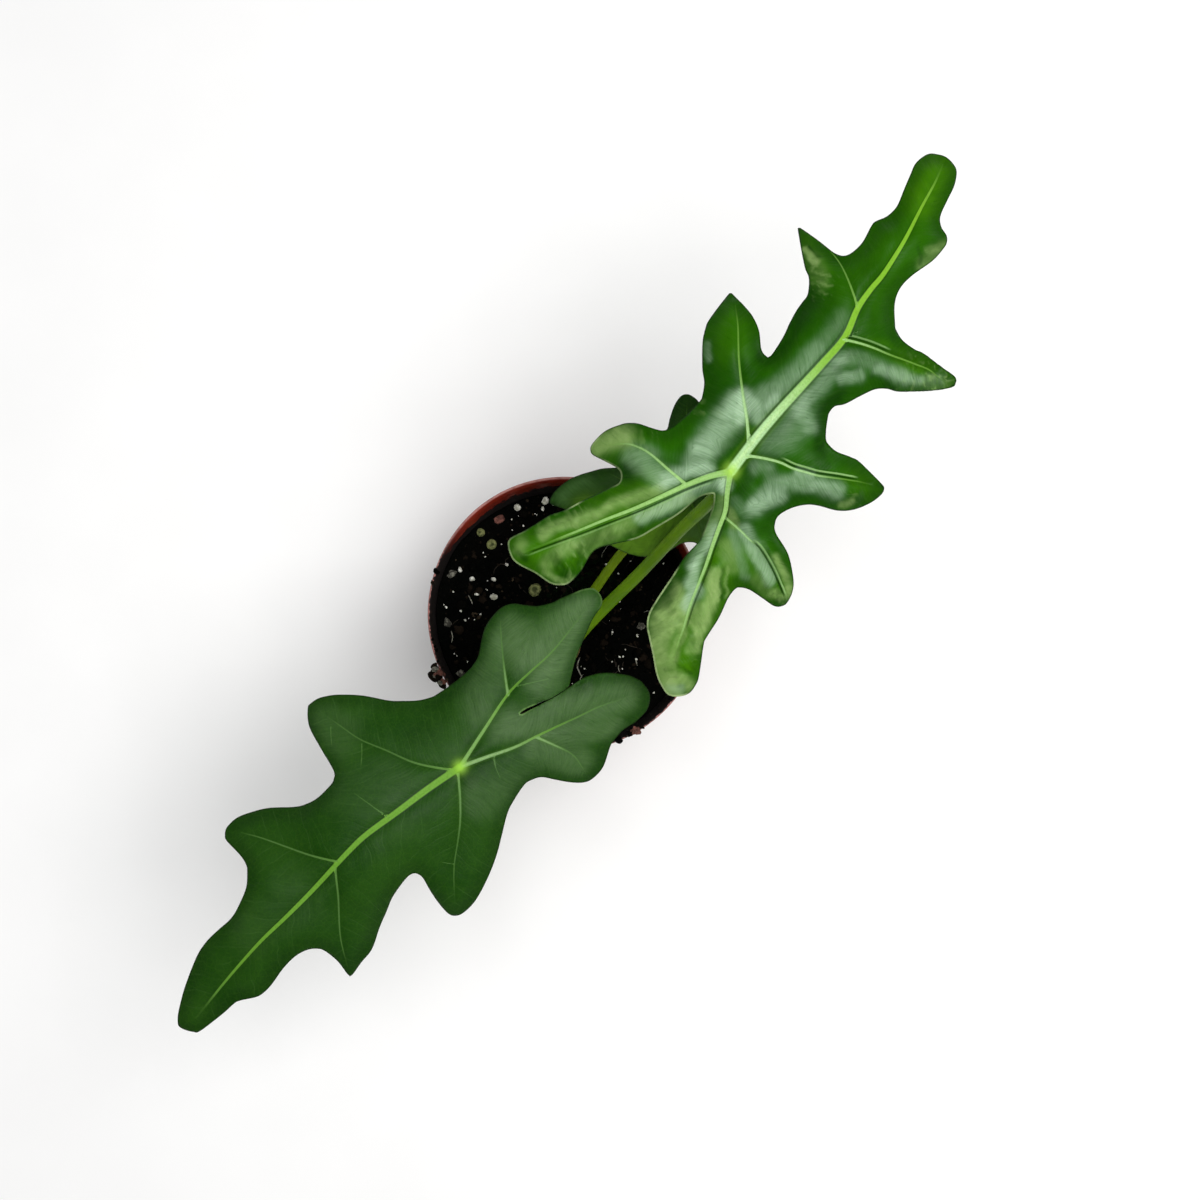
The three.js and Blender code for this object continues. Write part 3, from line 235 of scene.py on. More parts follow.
# how pale each rib is, and the share of it that stays pale
UPPER_PALE = {"mid": (1.0, 0.26), "P1": (0.45, 0.8), "P2": (0.45, 0.85), "L1": (0.8, 0.4), "L2": (0.1, 1.0), "R1": (0.55, 0.35), "R2": (0.75, 0.6),
              "P1a": (0.5, 0.8), "P2a": (0.5, 0.5)}
FRONT_PALE = {"mid": (0.1, 1.0), "P1": (0.5, 0.32), "P2": (0.8, 0.38), "L1": (0.15, 0.3), "R1": (0.4, 0.4), "P1a": (0.6, 0.35), "P2a": (0.7, 0.4)}
# the patches paint light and shade into the blade's colour: painted sheen, pale yellow-green painted highlight, bright
# green partly painted light, painted shade and a pale painted highlight along edges
UPPER_PAINT = [  # kind, line, half width and strength of each soft patch
    ("bloom", [(58.0, 69.4), (58.0, 66.5), (56.8, 62.8)], 2.7, 0.85),
    ("bloom", [(60.2, 66.5), (62.7, 62.6)], 2.5, 0.5),
    ("bloom", [(33.3, 43.5), (38.3, 45.4), (46.6, 47.2)], 2.5, 0.8),
    ("bloom", [(55.0, 67.9), (53.4, 64.2)], 2.5, 0.45),
    ("dark", [(58.3, 69.1), (59.0, 64.6), (59.6, 60.8)], 0.38, 0.55),
    ("bloom", [(44.0, 9.2), (40.9, 4.0)], 2.1, 0.75),
    ("bloom", [(55.9, 67.2), (52.8, 62.9), (49.4, 58.9), (46.5, 54.5)], 4.2, 0.6),
    ("bloom", [(45.9, 53.5), (42.8, 49.5)], 3.4, 0.3),
    ("bloom", [(62.3, 68.0), (68.5, 71.6), (75.6, 78.7), (79.9, 83.0)], 3.4, 0.3),
    ("bloom", [(77.1, 63.8), (79.2, 60.2)], 2.5, 0.3),
    ("bloom", [(88.9, 75.0), (95.4, 75.9)], 1.7, 0.4),
    ("bloom", [(83.6, 86.0), (89.9, 92.9)], 3.4, 0.12),
    ("bloom", [(67.8, 55.8), (72.8, 58.3), (75.6, 62.0), (75.7, 67.5)], 5.5, 0.2),
    ("dark", [(88.8, 71.4), (83.6, 64.9), (82.9, 59.1), (82.3, 51.3), (83.7, 47.8)], 2.1, 0.6),
    ("dark", [(99.9, 79.7), (99.1, 75.4)], 0.5, 0.4),
    ("dark", [(104.3, 78.7), (103.2, 74.7)], 0.5, 0.45),
    ("dark", [(109.2, 77.4), (108.1, 73.4)], 0.5, 0.4),
    ("dark", [(95.2, 80.1), (94.1, 76.4)], 0.5, 0.3),
    ("bloom", [(76.4, 66.6), (82.5, 73.7), (87.4, 79.8)], 2.9, 0.3),
    ("bloom", [(87.4, 81.3), (95.9, 80.1), (105.8, 76.9), (115.2, 74.3), (121.3, 74.9)], 2.5, 0.2),
    ("bloom", [(101.3, 77.6), (108.9, 75.9), (114.5, 74.9)], 1.9, 0.32),
    ("bloom", [(62.6, 34.6), (66.3, 39.0), (71.6, 42.1), (80.6, 42.2), (87.6, 39.8)], 2.9, 0.36),
    ("bloom", [(63.2, 35.8), (67.0, 37.4), (70.1, 38.4)], 2.5, 0.5),
    ("bloom", [(81.3, 41.6), (88.3, 39.2)], 1.7, 0.2),
    ("young", [(12.3, 54.7), (15.5, 57.1), (20.6, 58.5)], 3.8, 0.8),
    ("bloom", [(23.8, 51.8), (28.9, 47.7), (34.6, 43.5)], 4.2, 0.34),
    ("bloom", [(48.5, 41.8), (41.5, 38.4), (31.4, 34.0), (25.7, 31.5)], 2.5, 0.52),
    ("young", [(41.5, 38.7), (25.7, 32.2), (12.9, 27.2), (3.9, 23.4)], 1.7, 0.35),
    ("young", [(32.0, 41.3), (20.0, 36.7), (7.1, 31.7), (-4.9, 27.3)], 2.1, 0.6),
    ("lime", [(32.0, 35.6), (19.3, 29.4), (6.4, 23.1), (-6.6, 19.9), (-13.1, 22.2)], 9.2, 0.65),
    ("dark", [(25.7, 27.7), (21.9, 24.6)], 1.7, 0.35),
    ("dark", [(14.8, 29.1), (9.7, 24.7), (7.1, 22.1)], 2.1, 0.35),
    ("dark", [(-1.3, 20.8), (-4.0, 18.3)], 1.5, 0.35),
    ("lime", [(19.3, 53.6), (12.9, 55.0)], 8.4, 0.4),
    ("lime", [(28.9, 43.6), (19.3, 39.0), (9.7, 34.9)], 5, 0.5),
    ("young", [(22.5, 27.8), (12.9, 24.6), (8.1, 22.1)], 2.5, 0.4),
    ("young", [(3.9, 23.1), (-0.0, 20.8), (-4.0, 16.3)], 2.5, 0.42),
    ("young", [(-12.1, 24.8), (-13.8, 20.9)], 2.1, 0.5),
    ("young", [(-4.0, 13.4), (0.5, 10.5), (4.8, 12.4)], 1.3, 0.5),
    ("bloom", [(48.6, 28.3), (45.5, 22.9), (42.3, 16.8)], 2.5, 0.68),
    ("young", [(51.7, 37.1), (50.2, 31.4), (47.3, 25.7)], 2.1, 0.35),
    ("young", [(36.1, 8.5), (39.3, 3.4), (38.7, -1.2)], 2.9, 0.8),
    ("lime", [(49.7, 18.1), (47.6, 5.3), (41.9, -7.6), (36.3, -17.4)], 9.2, 0.7),
    ("young", [(49.7, 13.6), (49.2, 8.5), (47.0, 1.4), (45.1, -3.7)], 2.5, 0.85),
    ("bloom", [(43.0, 15.5), (41.1, 10.4)], 2.1, 0.55),
    ("young", [(33.6, -1.8), (32.0, -7.7), (33.0, -15.8), (36.4, -24.7)], 3.8, 0.8),
    ("young", [(42.6, -6.3), (41.9, -10.2)], 1.7, 0.4),
    ("young", [(34.9, 1.4), (36.8, 4.7)], 1.3, 0.6),
    ("bloom", [(54.4, 26.4), (57.0, 20.6), (60.1, 13.3)], 1.7, 0.2),
    ("young", [(52.2, 22.9), (54.2, 18.7), (55.5, 14.9)], 2.5, 0.35),
    ("lime", [(62.6, 18.1), (69.4, 10.1)], 5.9, 0.5),
    ("young", [(63.7, 12.1), (67.1, 8.2)], 2.1, 0.25),
    ("bloom", [(58.5, 27.6), (61.9, 21.9), (64.9, 17.5), (68.0, 12.7)], 2.3, 0.55),
    ("bloom", [(75.7, 45.9), (80.2, 45.3)], 1.3, 0.5),
    ("young", [(54.3, 32.7), (55.6, 29.2)], 1.7, 0.6),
    ("young", [(69.8, 18.8), (73.3, 12.4), (74.4, 7.9)], 1.5, 0.6),
    ("dark", [(66.1, 22.0), (69.5, 16.2), (72.1, 9.2)], 0.59, 0.6),
    ("young", [(69.1, 7.9), (72.5, 5.3), (75.4, 8.5)], 1.7, 0.55),
    ("dark", [(70.5, 4.7), (74.5, 4.0)], 0.84, 0.4),
    ("young", [(78.4, 117.8), (79.7, 114.5), (81.1, 112.3)], 1.3, 0.8),
    ("young", [(80.7, 109.2), (82.7, 107.7), (85.1, 107.2)], 0.42, 0.35),
    ("young", [(81.4, 106.1), (83.5, 104.6), (85.6, 104.1)], 0.42, 0.4),
    ("young", [(81.9, 103.3), (84.0, 101.9)], 0.38, 0.4),
    ("dark", [(79.9, 118.3), (82.4, 113.9)], 0.5, 0.5),
    ("young", [(79.4, 112.8), (80.2, 110.6)], 0.5, 0.5),
    ("young", [(80.3, 114.1), (82.3, 105.7)], 2.5, 0.2),
    ("young", [(114.9, 111.7), (119.7, 115.3), (122.5, 118.4)], 2.3, 0.42),
    ("young", [(117.0, 116.4), (120.5, 117.9)], 1.3, 0.4),
    ("dark", [(113.6, 117.1), (114.2, 112.3)], 0.67, 0.4),
    ("lime", [(97.6, 85.3), (114.7, 82.3)], 3.4, 0.25),
    ("bloom", [(46.1, 86.8), (47.3, 82.4)], 1.3, 0.5),
    ("young", [(44.4, 3.4), (43.2, -0.5)], 1.7, 0.55),
    ("young", [(89.9, 35.5), (93.8, 36.5)], 1.3, 0.5),
    ("bloom", [(65.7, 65.7), (68.5, 68.4)], 1.7, 0.5),
    ("dark", [(56.5, 72.3), (57.4, 69.1)], 0.63, 0.6),
    ("bloom", [(52.3, 44.3), (52.3, 41.2)], 2.1, 1),
    ("bloom", [(62.9, 47.7), (66.1, 46.5)], 2.5, 0.22),
    ("bloom", [(56.8, 36.2), (59.4, 33.3)], 2.5, 0.15),
    ("lime", [(94.4, 99.3), (104.3, 115.7), (113.3, 131.3)], 11, 0.12),
    ("lime", [(115.8, 133.1), (119.7, 140.4), (122.2, 146.9)], 6.3, 0.65),
    ("lime", [(91.4, 37.4), (88.3, 34.2)], 3.4, 0),
    ("lime", [(111.5, 78.4), (122.0, 75.3)], 5.9, 0.5),
    ("lime", [(94.4, 43.6), (99.5, 41.9)], 5.9, 0.3),
    ("lime", [(78.8, 118.8), (81.0, 109.9)], 5, 0.4),
    ("lime", [(55.9, 94.6), (53.5, 86.2)], 6.7, 0.25),
    ("young", [(116.9, 75.0), (123.8, 74.1)], 2.1, 0.22),
    ("dark", [(50.3, 50.3), (55.3, 55.0), (58.4, 59.0)], 2.1, 0.6),
    ("dark", [(61.0, 50.2), (60.4, 45.2), (58.0, 40.2)], 2.5, 0.7),
    ("dark", [(21.2, 46.4), (24.4, 44.3)], 3.4, 0.5),
    ("dark", [(33.5, 13.7), (32.9, 8.5), (30.7, 3.4)], 2.5, 0.75),
    ("lime", [(42.3, -10.8), (41.4, -16.7)], 2.5, 0.8),
    ("young", [(44.8, -6.3), (44.2, -10.8)], 1.3, 0.6),
    ("bloom", [(34.4, -24.0), (39.0, -24.7)], 2.1, 0.55),
    ("young", [(39.4, -4.4), (37.8, -9.2), (36.9, -14.1)], 1.3, 0.5),
    ("dark", [(34.3, -18.1), (38.2, -16.4), (42.1, -18.0)], 0.67, 0.4),
    ("dark", [(32.9, 11.7), (36.1, 8.5)], 1.7, 0.5),
    ("young", [(33.2, 5.3), (32.6, 0.8)], 1.7, 0.55),
    ("young", [(35.0, -22.0), (39.5, -20.7), (42.8, -23.3)], 2.5, 0.6),
    ("dark", [(-0.1, 18.3), (1.9, 13.4)], 2.1, 0.5),
    ("dark", [(-13.8, 20.6), (-11.8, 18.3)], 1.3, 0.4),
    ("dark", [(103.7, 72.6), (106.1, 72.1)], 1.7, 0.6),
    ("dark", [(91.1, 83.5), (101.0, 83.4), (109.5, 82.0)], 1.7, 0.35),
    ("dark", [(86.8, 79.8), (88.3, 74.4)], 1.1, 0.45),
    ("dark", [(49.9, 27.6), (47.4, 20.6), (45.2, 13.3), (42.8, 5.3)], 0.76, 0.8),
    ("young", [(40.0, 1.4), (37.4, 0.1), (36.2, -3.7)], 0.84, 0.7),
    ("young", [(40.6, 0.1), (42.5, -1.8), (43.2, -5.0)], 0.67, 0.6),
    ("young", [(51.3, 15.5), (50.8, 5.3)], 0.59, 0.5),
    ("young", [(53.9, 14.9), (53.7, 5.3)], 0.5, 0.45),
    ("dark", [(52.6, 15.5), (52.1, 5.3)], 0.5, 0.45),
    ("dark", [(83.9, 99.5), (90.4, 89.7)], 3.8, 0.3),
    ("dark", [(66.6, 84.3), (72.8, 90.4), (77.6, 100.0)], 4.6, 0.5),
    ("dark", [(61.8, 77.9), (65.0, 82.7)], 2.5, 0.4),
    ("dark", [(80.0, 52.2), (79.5, 46.5)], 2.1, 0.3),
    ("dark", [(57.5, 30.8), (64.0, 27.7)], 2.1, 0.35),
    ("dark", [(44.7, 37.1), (32.1, 31.5)], 0.63, 0.4),
    ("lip", [(49.5, 39.3), (44.7, 36.2), (32.1, 29.6), (23.5, 25.5)], 2.1, 0.55),
    ("lip", [(49.5, 39.3), (47.3, 33.3), (44.8, 26.7)], 1.7, 0.25),
    ("dark", [(49.8, 39.6), (47.6, 33.6), (45.1, 27.0)], 0.5, 0.7),
    ("lip", [(36.0, 13.3), (30.7, 3.7), (28.5, -2.8), (29.1, -10.9), (33.4, -24.0), (39.0, -26.7)], 2.9, 0.95),
    ("lip", [(6.4, 24.7), (-15.7, 23.2), (-15.1, 18.3), (-9.9, 14.4), (-4.0, 10.2), (1.5, 9.9)], 2.9, 0.6),
    ("lip", [(12.9, 54.6), (12.9, 57.3)], 2.5, 0.5),
    ("lip", [(4.8, 35.0), (6.5, 33.0)], 2.1, 0.8),
    ("lip", [(15.2, 48.9), (20.0, 46.4), (18.4, 42.2)], 2.1, 0.4),
]
# the patches paint light and shade into the blade's colour: painted sheen, bright green partly painted light, painted
# shade and a pale painted highlight along edges
FRONT_PAINT = [  # kind, line, half width and strength of each soft patch
    ("bloom", [(-16.7, -8.2), (-10.6, -12.1), (-4.6, -13.2), (-0.6, -8.2), (5.4, 1.2)], 8.4, 0.75),
    ("bloom", [(-1.9, -17.5), (-7.2, -22.2)], 5, 0.5),
    ("bloom", [(-18.9, -37.2), (-8.9, -35.3), (1.4, -31.4), (12.9, -29.7), (20.4, -27.4)], 5.9, 0.6),
    ("bloom", [(-3.3, -39.8), (6.1, -40.0), (13.6, -38.2), (19.0, -38.4)], 3.8, 0.5),
    ("bloom", [(-7.3, -44.5), (4.4, -49.6)], 5.9, 0.55),
    ("bloom", [(-28.0, -29.9), (-25.4, -18.2)], 5.9, 0.4),
    ("bloom", [(-89.4, -33.9), (-74.8, -40.3)], 7.6, 0.25),
    ("bloom", [(-27.2, -61.6), (-14.0, -55.2)], 6.7, 0.35),
    ("bloom", [(-70.4, -58.0), (-56.9, -54.6)], 9.2, 0.15),
    ("bloom", [(-105.0, -105.8), (-87.4, -95.0)], 8.4, 0.1),
    ("dark", [(-31.8, -53.4), (-29.2, -56.2)], 2.1, 0.5),
    ("dark", [(-29.9, -42.2), (-28.2, -48.2)], 2.9, 0.5),
    ("dark", [(-25.9, -48.2), (-30.5, -56.8)], 2.5, 0.35),
    ("dark", [(-27.4, -20.2), (-29.4, -25.6), (-28.3, -30.6)], 2.9, 0.4),
    ("dark", [(1.5, -27.4), (8.8, -25.2)], 2.5, 0.5),
    ("bloom", [(17.0, -40.4), (21.8, -39.1)], 2.9, 0.3),
    ("dark", [(-47.4, -39.9), (-37.5, -28.3), (-27.6, -8.2)], 5, 0.45),
    ("dark", [(-18.9, -51.7), (-10.7, -62.2)], 5, 0.2),
    ("lip", [(-14.2, -33.2), (-13.2, -30.9), (-10.5, -29.5)], 1.7, 0.8),
    ("lime", [(7.8, 8.0), (11.5, 8.0), (12.2, 3.6)], 2.1, 0.6),
    ("lip", [(6.1, 8.0), (12.2, 8.7), (13.6, 4.6)], 2.1, 0.5),
    ("lip", [(-0.5, -21.6), (2.1, -17.6), (3.1, -13.2)], 2.1, 0.3),
    ("dark", [(7.8, 3.9), (10.2, 6.0)], 1.1, 0.6),
]
# the patches paint light into the blade's colour: painted sheen and a pale yellow-green painted highlight
LOWER_PAINT = [  # kind, line, half width and strength of each soft patch
    ("bloom", [(-2.8, 39.2), (-0.7, 44.6), (5.8, 48.0)], 5, 0.5),
    ("young", [(11.1, 30.1), (27.0, 24.7), (35.7, 29.2)], 11, 0.85),
    ("young", [(44.4, 33.3), (48.3, 19.5)], 6.7, 0.4),
    ("bloom", [(12.9, 44.9), (18.2, 46.9)], 3.8, 0.2),
    ("bloom", [(49.9, 37.4), (48.0, 31.2), (45.3, 25.7)], 5.5, 0.6),
]

# ------------------------------------------------------------------------------------------------ number helpers


def smooth(a, b, x):
    t = np.clip((x - a) / (b - a), 0, 1)
    return t * t * (3 - 2 * t)


def lattice(ix, iy, iz, seed):
    h = (ix * 374761393 + iy * 668265263 + iz * 1442695041 + seed * 1274126177) & 0xFFFFFFFF
    h = ((h ^ (h >> 13)) * 1274126177) & 0xFFFFFFFF
    h = ((h ^ (h >> 15)) * 2246822519) & 0xFFFFFFFF
    return ((h ^ (h >> 16)) & 0xFFFF) / 32767.5 - 1.0


def noise(p, size, seed=0):
    """Smooth repeatable noise from -1 to 1 at points p (n, 2 or 3), with lumps about size across."""
    p = np.asarray(p, float) / size
    if p.shape[1] == 2:
        p = np.c_[p, np.zeros(len(p))]
    i = np.floor(p).astype(np.int64)
    f = p - i
    f = f * f * f * (f * (f * 6 - 15) + 10)
    out = 0
    for dx in (0, 1):
        for dy in (0, 1):
            for dz in (0, 1):
                w = (f[:, 0] if dx else 1 - f[:, 0]) * (f[:, 1] if dy else 1 - f[:, 1]) * (f[:, 2] if dz else 1 - f[:, 2])
                out = out + w * lattice(i[:, 0] + dx, i[:, 1] + dy, i[:, 2] + dz, seed)
    return out


def octaves(p, size, seed, n=3, gain=0.5):
    return sum(noise(p, size / 2**k, seed + 17 * k) * gain**k for k in range(n))


def surface(points, ease=20.0):
    """A smooth height surface through scattered points (thin plate)."""
    q = np.array(points, float)
    xy, n = q[:, :2], len(q)

    def phi(r2):
        r2 = np.maximum(r2, 1e-9)
        return 0.5 * r2 * np.log(r2)

    a = np.zeros((n + 3, n + 3))
    a[:n, :n] = phi(((xy[:, None] - xy[None]) ** 2).sum(-1)) + ease * np.eye(n)
    a[:n, n] = a[n, :n] = 1
    a[:n, n + 1:] = xy
    a[n + 1:, :n] = xy.T
    w = np.linalg.solve(a, np.r_[q[:, 2], 0, 0, 0])

    def height(p):
        p = np.atleast_2d(np.asarray(p, float))[:, :2]
        return phi(((p[:, None] - xy[None]) ** 2).sum(-1)) @ w[:n] + w[n] + p @ w[n + 1:]

    return height


def spline(points, step, closed=False):
    """Points about step apart on a Catmull-Rom curve."""
    p = np.array(points, float)
    n = len(p)
    out = []
    for i in range(n if closed else n - 1):
        if closed:
            a, b, c, d = p[i - 1], p[i], p[(i + 1) % n], p[(i + 2) % n]
        else:
            b, c = p[i], p[i + 1]
            a = p[i - 1] if i else 2 * b - c
            d = p[i + 2] if i + 2 < n else 2 * c - b
        k = max(1, int(round(np.linalg.norm(c - b) / step)))
        for t in np.arange(k) / k:
            out.append(0.5 * (2 * b + (c - a) * t + (2 * a - 5 * b + 4 * c - d) * t * t + (3 * b - a - 3 * c + d) * t**3))
    if not closed:
        out.append(p[-1])
    return np.array(out)


def to_line(p, line, closed=False):
    """Distance from points p to a polyline, with the arc length there, the side and the line's length."""
    a = line
    b = np.roll(line, -1, 0) if closed else line[1:]
    a = a if closed else line[:-1]
    seg = b - a
    length = np.maximum(np.linalg.norm(seg, axis=1), 1e-9)
    start = np.r_[0, np.cumsum(length)[:-1]]
    dist, arc, side = np.empty(len(p)), np.empty(len(p)), np.empty(len(p))
    for lo in range(0, len(p), 4000):
        q = p[lo:lo + 4000]
        rel = q[:, None] - a[None]
        t = np.clip((rel * seg[None]).sum(-1) / length[None] ** 2, 0, 1)
        near = rel - t[..., None] * seg[None]
        d2 = (near**2).sum(-1)
        k = d2.argmin(1)
        r = np.arange(len(q))
        dist[lo:lo + 4000] = np.sqrt(d2[r, k])
        arc[lo:lo + 4000] = start[k] + t[r, k] * length[k]
        side[lo:lo + 4000] = np.sign(seg[k, 0] * rel[r, k, 1] - seg[k, 1] * rel[r, k, 0])
    return dist, arc, side, length.sum()


def inside(p, loop):
    a, b = loop, np.roll(loop, -1, 0)
    hit = np.zeros(len(p), bool)
    for lo in range(0, len(p), 4000):
        q = p[lo:lo + 4000]
        up = (a[None, :, 1] > q[:, 1, None]) != (b[None, :, 1] > q[:, 1, None])
        with np.errstate(divide="ignore", invalid="ignore"):
            x = a[:, 0] + (q[:, 1, None] - a[:, 1]) * (b[:, 0] - a[:, 0]) / (b[:, 1] - a[:, 1])
        hit[lo:lo + 4000] = ((up & (q[:, 0, None] < x)).sum(1) % 2) == 1
    return hit


def thin(points, gap):
    """Drops points closer than about gap to an earlier one."""
    seen, keep = {}, []
    for i, (x, y) in enumerate(points):
        cx, cy = int(math.floor(x / gap)), int(math.floor(y / gap))
        ok = True
        for ax in (cx - 1, cx, cx + 1):
            for ay in (cy - 1, cy, cy + 1):
                for j in seen.get((ax, ay), ()):
                    if (points[j][0] - x) ** 2 + (points[j][1] - y) ** 2 < gap * gap:
                        ok = False
        if ok:
            seen.setdefault((cx, cy), []).append(i)
            keep.append(i)
    return points[keep]


def hexes(x0, x1, y0, y1, step):
    rows = np.arange(y0, y1, step * 0.866)
    cols = np.arange(x0, x1, step)
    gx, gy = np.meshgrid(cols, rows)
    gx = gx + (np.arange(len(rows)) % 2)[:, None] * step / 2
    return np.c_[gx.ravel(), gy.ravel()]


# ------------------------------------------------------------------------------------------------ Blender helpers


def piece(name, verts, faces, material, replaces=None, attributes=None, sharp=None):
    """A mesh object from millimetre vertices, riding on the plant's one body."""
    mesh = bpy.data.meshes.new(name)
    v = np.asarray(verts, np.float64) * MM
    if isinstance(faces, np.ndarray):
        mesh.vertices.add(len(v))
        mesh.vertices.foreach_set("co", v.ravel())
        n, k = faces.shape
        mesh.loops.add(n * k)
        mesh.loops.foreach_set("vertex_index", faces.astype(np.int32).ravel())
        mesh.polygons.add(n)
        mesh.polygons.foreach_set("loop_start", (np.arange(n) * k).astype(np.int32))
        mesh.update(calc_edges=True)
        mesh.validate()
    else:
        mesh.from_pydata([tuple(q) for q in v], [], faces)
        mesh.update()
    for key, values in (attributes or {}).items():
        mesh.attributes.new(key, "FLOAT", "POINT").data.foreach_set("value", np.asarray(values, np.float32))
    mesh.polygons.foreach_set("use_smooth", np.ones(len(mesh.polygons), bool))
    if sharp:
        mesh.set_sharp_from_angle(angle=math.radians(sharp))
    mesh.materials.append(material)
    obj = bpy.data.objects.new(name, mesh)
    bpy.context.scene.collection.objects.link(obj)
    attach(obj, "root")
    if replaces:
        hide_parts(replaces)
    return obj


class Nodes:
    """Short-hand for building a material's node tree."""

    def __init__(self, name):
        self.m = bpy.data.materials.new(name)
        self.m.use_nodes = True
        self.t = self.m.node_tree
        self.t.nodes.clear()
        self.out = self.t.nodes.new("ShaderNodeOutputMaterial")
        self.bsdf = self.t.nodes.new("ShaderNodeBsdfPrincipled")
        self.t.links.new(self.bsdf.outputs[0], self.out.inputs[0])
        self.coord = self.t.nodes.new("ShaderNodeTexCoord")

    def put(self, socket, value):
        if isinstance(value, bpy.types.NodeSocket):
            self.t.links.new(value, socket)
        elif value is not None:
            if hasattr(socket.default_value, "__len__") and not hasattr(value, "__len__"):
                value = (value,) * len(socket.default_value)
            socket.default_value = value

    def set(self, **values):
        for key, value in values.items():
            self.put(self.bsdf.inputs[key.replace("_", " ")], value)
        return self.m

    def attribute(self, name):
        n = self.t.nodes.new("ShaderNodeAttribute")
        n.attribute_name = name
        return n.outputs["Fac"]

    def math(self, op, a, b=0.0, c=0.0, clamp=False):
        n = self.t.nodes.new("ShaderNodeMath")
        n.operation = op
        n.use_clamp = clamp
        for socket, value in zip(n.inputs, (a, b, c)):
            self.put(socket, value)
        return n.outputs[0]

    def ramp(self, x, a, b, lo=0.0, hi=1.0):
        """Smooth step of x from a to b, giving lo to hi."""
        n = self.t.nodes.new("ShaderNodeMapRange")
        n.interpolation_type = "SMOOTHSTEP"
        for key, value in (("Value", x), ("From Min", a), ("From Max", b), ("To Min", lo), ("To Max", hi)):
            self.put(n.inputs[key], value)
        return n.outputs[0]

    def mix(self, f, a, b, blend="MIX"):
        n = self.t.nodes.new("ShaderNodeMix")
        n.data_type = "RGBA"
        n.blend_type = blend
        self.put(n.inputs[0], f)
        for socket, value in ((n.inputs[6], a), (n.inputs[7], b)):
            if isinstance(value, tuple) and len(value) == 3:
                value = value + (1.0,)
            self.put(socket, value)
        return n.outputs[2]

    def scaled(self, factor, turn=(0, 0, 0)):
        n = self.t.nodes.new("ShaderNodeMapping")
        self.t.links.new(self.coord.outputs["Object"], n.inputs[0])
        n.inputs["Rotation"].default_value = turn
        n.inputs["Scale"].default_value = factor if hasattr(factor, "__len__") else (factor,) * 3
        return n.outputs[0]

    def noise(self, size_mm, detail=3.0, rough=0.5, where=None, distort=0.0):
        n = self.t.nodes.new("ShaderNodeTexNoise")
        self.t.links.new(where or self.coord.outputs["Object"], n.inputs["Vector"])
        n.inputs["Scale"].default_value = 1000.0 / size_mm if where is None else 1.0
        n.inputs["Detail"].default_value = detail
        n.inputs["Roughness"].default_value = rough
        n.inputs["Distortion"].default_value = distort
        return n.outputs[0]

    def cells(self, size_mm, feature="F1", where=None):
        n = self.t.nodes.new("ShaderNodeTexVoronoi")
        n.feature = feature
        self.t.links.new(where or self.coord.outputs["Object"], n.inputs["Vector"])
        n.inputs["Scale"].default_value = 1000.0 / size_mm
        return n.outputs[0]

    def bump(self, height, distance_mm, strength=1.0, normal=None):
        n = self.t.nodes.new("ShaderNodeBump")
        n.inputs["Strength"].default_value = strength
        n.inputs["Distance"].default_value = distance_mm * MM
        self.put(n.inputs["Height"], height)
        if normal is not None:
            self.put(n.inputs["Normal"], normal)
        return n.outputs[0]


def lin(r, g, b):
    """Linear colour from 0 to 255 screen values."""
    return tuple((c / 255 / 12.92) if c / 255 <= 0.04045 else ((c / 255 + 0.055) / 1.055) ** 2.4 for c in (r, g, b))


# ------------------------------------------------------------------------------------------------ leaf blades


